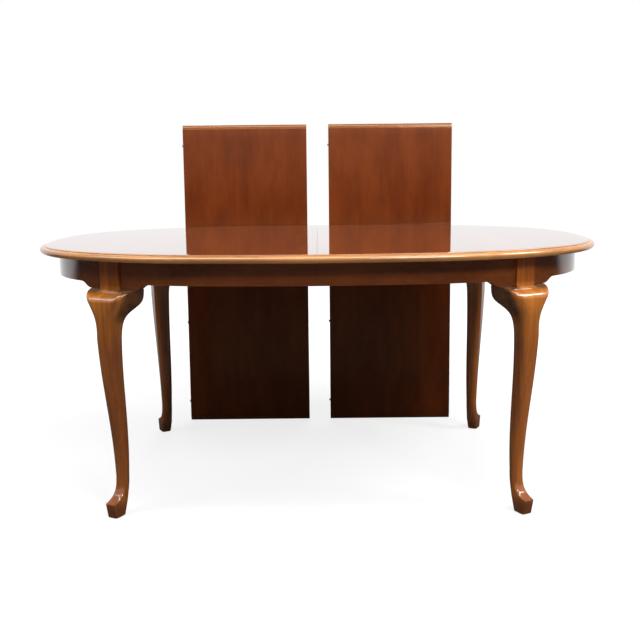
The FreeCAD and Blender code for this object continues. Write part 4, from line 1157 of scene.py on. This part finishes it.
class OVALTABLE_OT_stage(bpy.types.Operator):
    """Floor, white surroundings, soft lights and the camera"""

    bl_idname = "oval_table.stage"
    bl_label = "Stage"

    def execute(self, context):
        scene = context.scene
        stage = scene.oval_table_stage
        scene.view_settings.view_transform = "Standard"
        self.make_floor(scene, stage)
        self.make_world(scene, stage)
        self.make_lights(scene)
        self.make_camera(scene, stage)
        return {"FINISHED"}

    def make_floor(self, scene, stage):
        """Wide flat floor under the table."""
        bm = bmesh.new()
        bmesh.ops.create_grid(bm, x_segments=1, y_segments=1, size=FLOOR_HALF_SIDE)
        mesh = bpy.data.meshes.new("floor")
        bm.to_mesh(mesh)
        bm.free()
        mesh.materials.append(pale_floor(stage))
        floor = bpy.data.objects.new("floor", mesh)
        scene.collection.objects.link(floor)

    def make_world(self, scene, stage):
        """White for the camera. The gloss sees white walls all round, but for a dim room in front."""
        world = bpy.data.worlds.new("white_surroundings")
        world.use_nodes = True
        scene.world = world
        tree = world.node_tree
        rays = add_node(tree, "LightPath").outputs
        aim = split(tree, add_node(tree, "TexCoord").outputs["Generated"])
        backdrop = remap(tree, aim["Y"], *BACKDROP_SPAN, stage.front_room, BACKDROP_LEVEL)
        walls = remap(tree, aim["Z"], *WALL_SPAN, stage.front_room, WALL_LEVEL)
        overhead = remap(tree, aim["Z"], *CEILING_SPAN, 1.0, stage.ceiling)
        surround = combine(tree, "MULTIPLY", combine(tree, "MAXIMUM", backdrop, walls), overhead)
        level = between(tree, rays["Is Glossy Ray"], stage.ambient, surround)
        seen = combine(tree, "MAXIMUM", rays["Is Camera Ray"], level)
        wire(tree, tree.nodes["Background"], {"Color": CLEAR, "Strength": seen})

    def make_lights(self, scene):
        """Soft lights round the table. The rear one is kept out of the gloss of the top."""
        for name, place, size, watts in LIGHTS:
            data = bpy.data.lights.new(name, "AREA")
            data.shape = "RECTANGLE"
            data.size, data.size_y = size
            data.energy = watts
            light = bpy.data.objects.new(name, data)
            light.location = place
            light.visible_glossy = name != "rear_light"
            light.rotation_euler = (LIGHT_TARGET - Vector(place)).to_track_quat("-Z", "Y").to_euler()
            scene.collection.objects.link(light)

    def make_camera(self, scene, stage):
        """Camera at the photograph's viewing angle."""
        data = bpy.data.cameras.new("photo_view")
        data.sensor_width = 36.0
        data.sensor_fit = "HORIZONTAL"
        data.lens = stage.camera_lens
        camera = bpy.data.objects.new("photo_view", data)
        tilt = Matrix.Rotation(math.radians(90 - stage.camera_pitch), 4, "X")
        roll = Matrix.Rotation(math.radians(stage.camera_roll), 4, "Z")
        camera.matrix_world = Matrix.Translation(stage.camera_place) @ tilt @ roll
        scene.collection.objects.link(camera)
        scene.camera = camera


class OVALTABLE_PT_sidebar(bpy.types.Panel):
    """Buttons that build the table piece by piece"""

    bl_idname = "OVALTABLE_PT_sidebar"
    bl_label = "Oval Table"
    bl_space_type = "VIEW_3D"
    bl_region_type = "UI"
    bl_category = "Oval Table"

    def draw(self, context):
        for operator in OPERATORS:
            self.layout.operator(operator.bl_idname)


OPERATORS = (
    OVALTABLE_OT_stage,
    OVALTABLE_OT_top,
    OVALTABLE_OT_aprons,
    OVALTABLE_OT_legs,
    OVALTABLE_OT_leaves,
    OVALTABLE_OT_hidden,
)
GROUPS = {
    "oval_table_sizes": OvalTableSizes,
    "oval_table_leg": OvalTableLegSizes,
    "oval_table_finishes": OvalTableFinishes,
    "oval_table_stage": OvalTableStage,
}
CLASSES = (*GROUPS.values(), *OPERATORS, OVALTABLE_PT_sidebar)


def register():
    """Registers the classes and hangs the settings on the scene."""
    for item in CLASSES:
        bpy.utils.register_class(item)
    for name, group in GROUPS.items():
        setattr(bpy.types.Scene, name, bpy.props.PointerProperty(type=group))


def unregister():
    """Takes away what register added."""
    for name in GROUPS:
        delattr(bpy.types.Scene, name)
    for item in reversed(CLASSES):
        bpy.utils.unregister_class(item)


def main():
    """Builds everything in order."""
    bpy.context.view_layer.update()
    register()
    bpy.ops.oval_table.stage()
    bpy.ops.oval_table.top()
    bpy.ops.oval_table.aprons()
    bpy.ops.oval_table.legs()
    bpy.ops.oval_table.leaves()
    bpy.ops.oval_table.hidden()


if __name__ == "__main__":
    main()
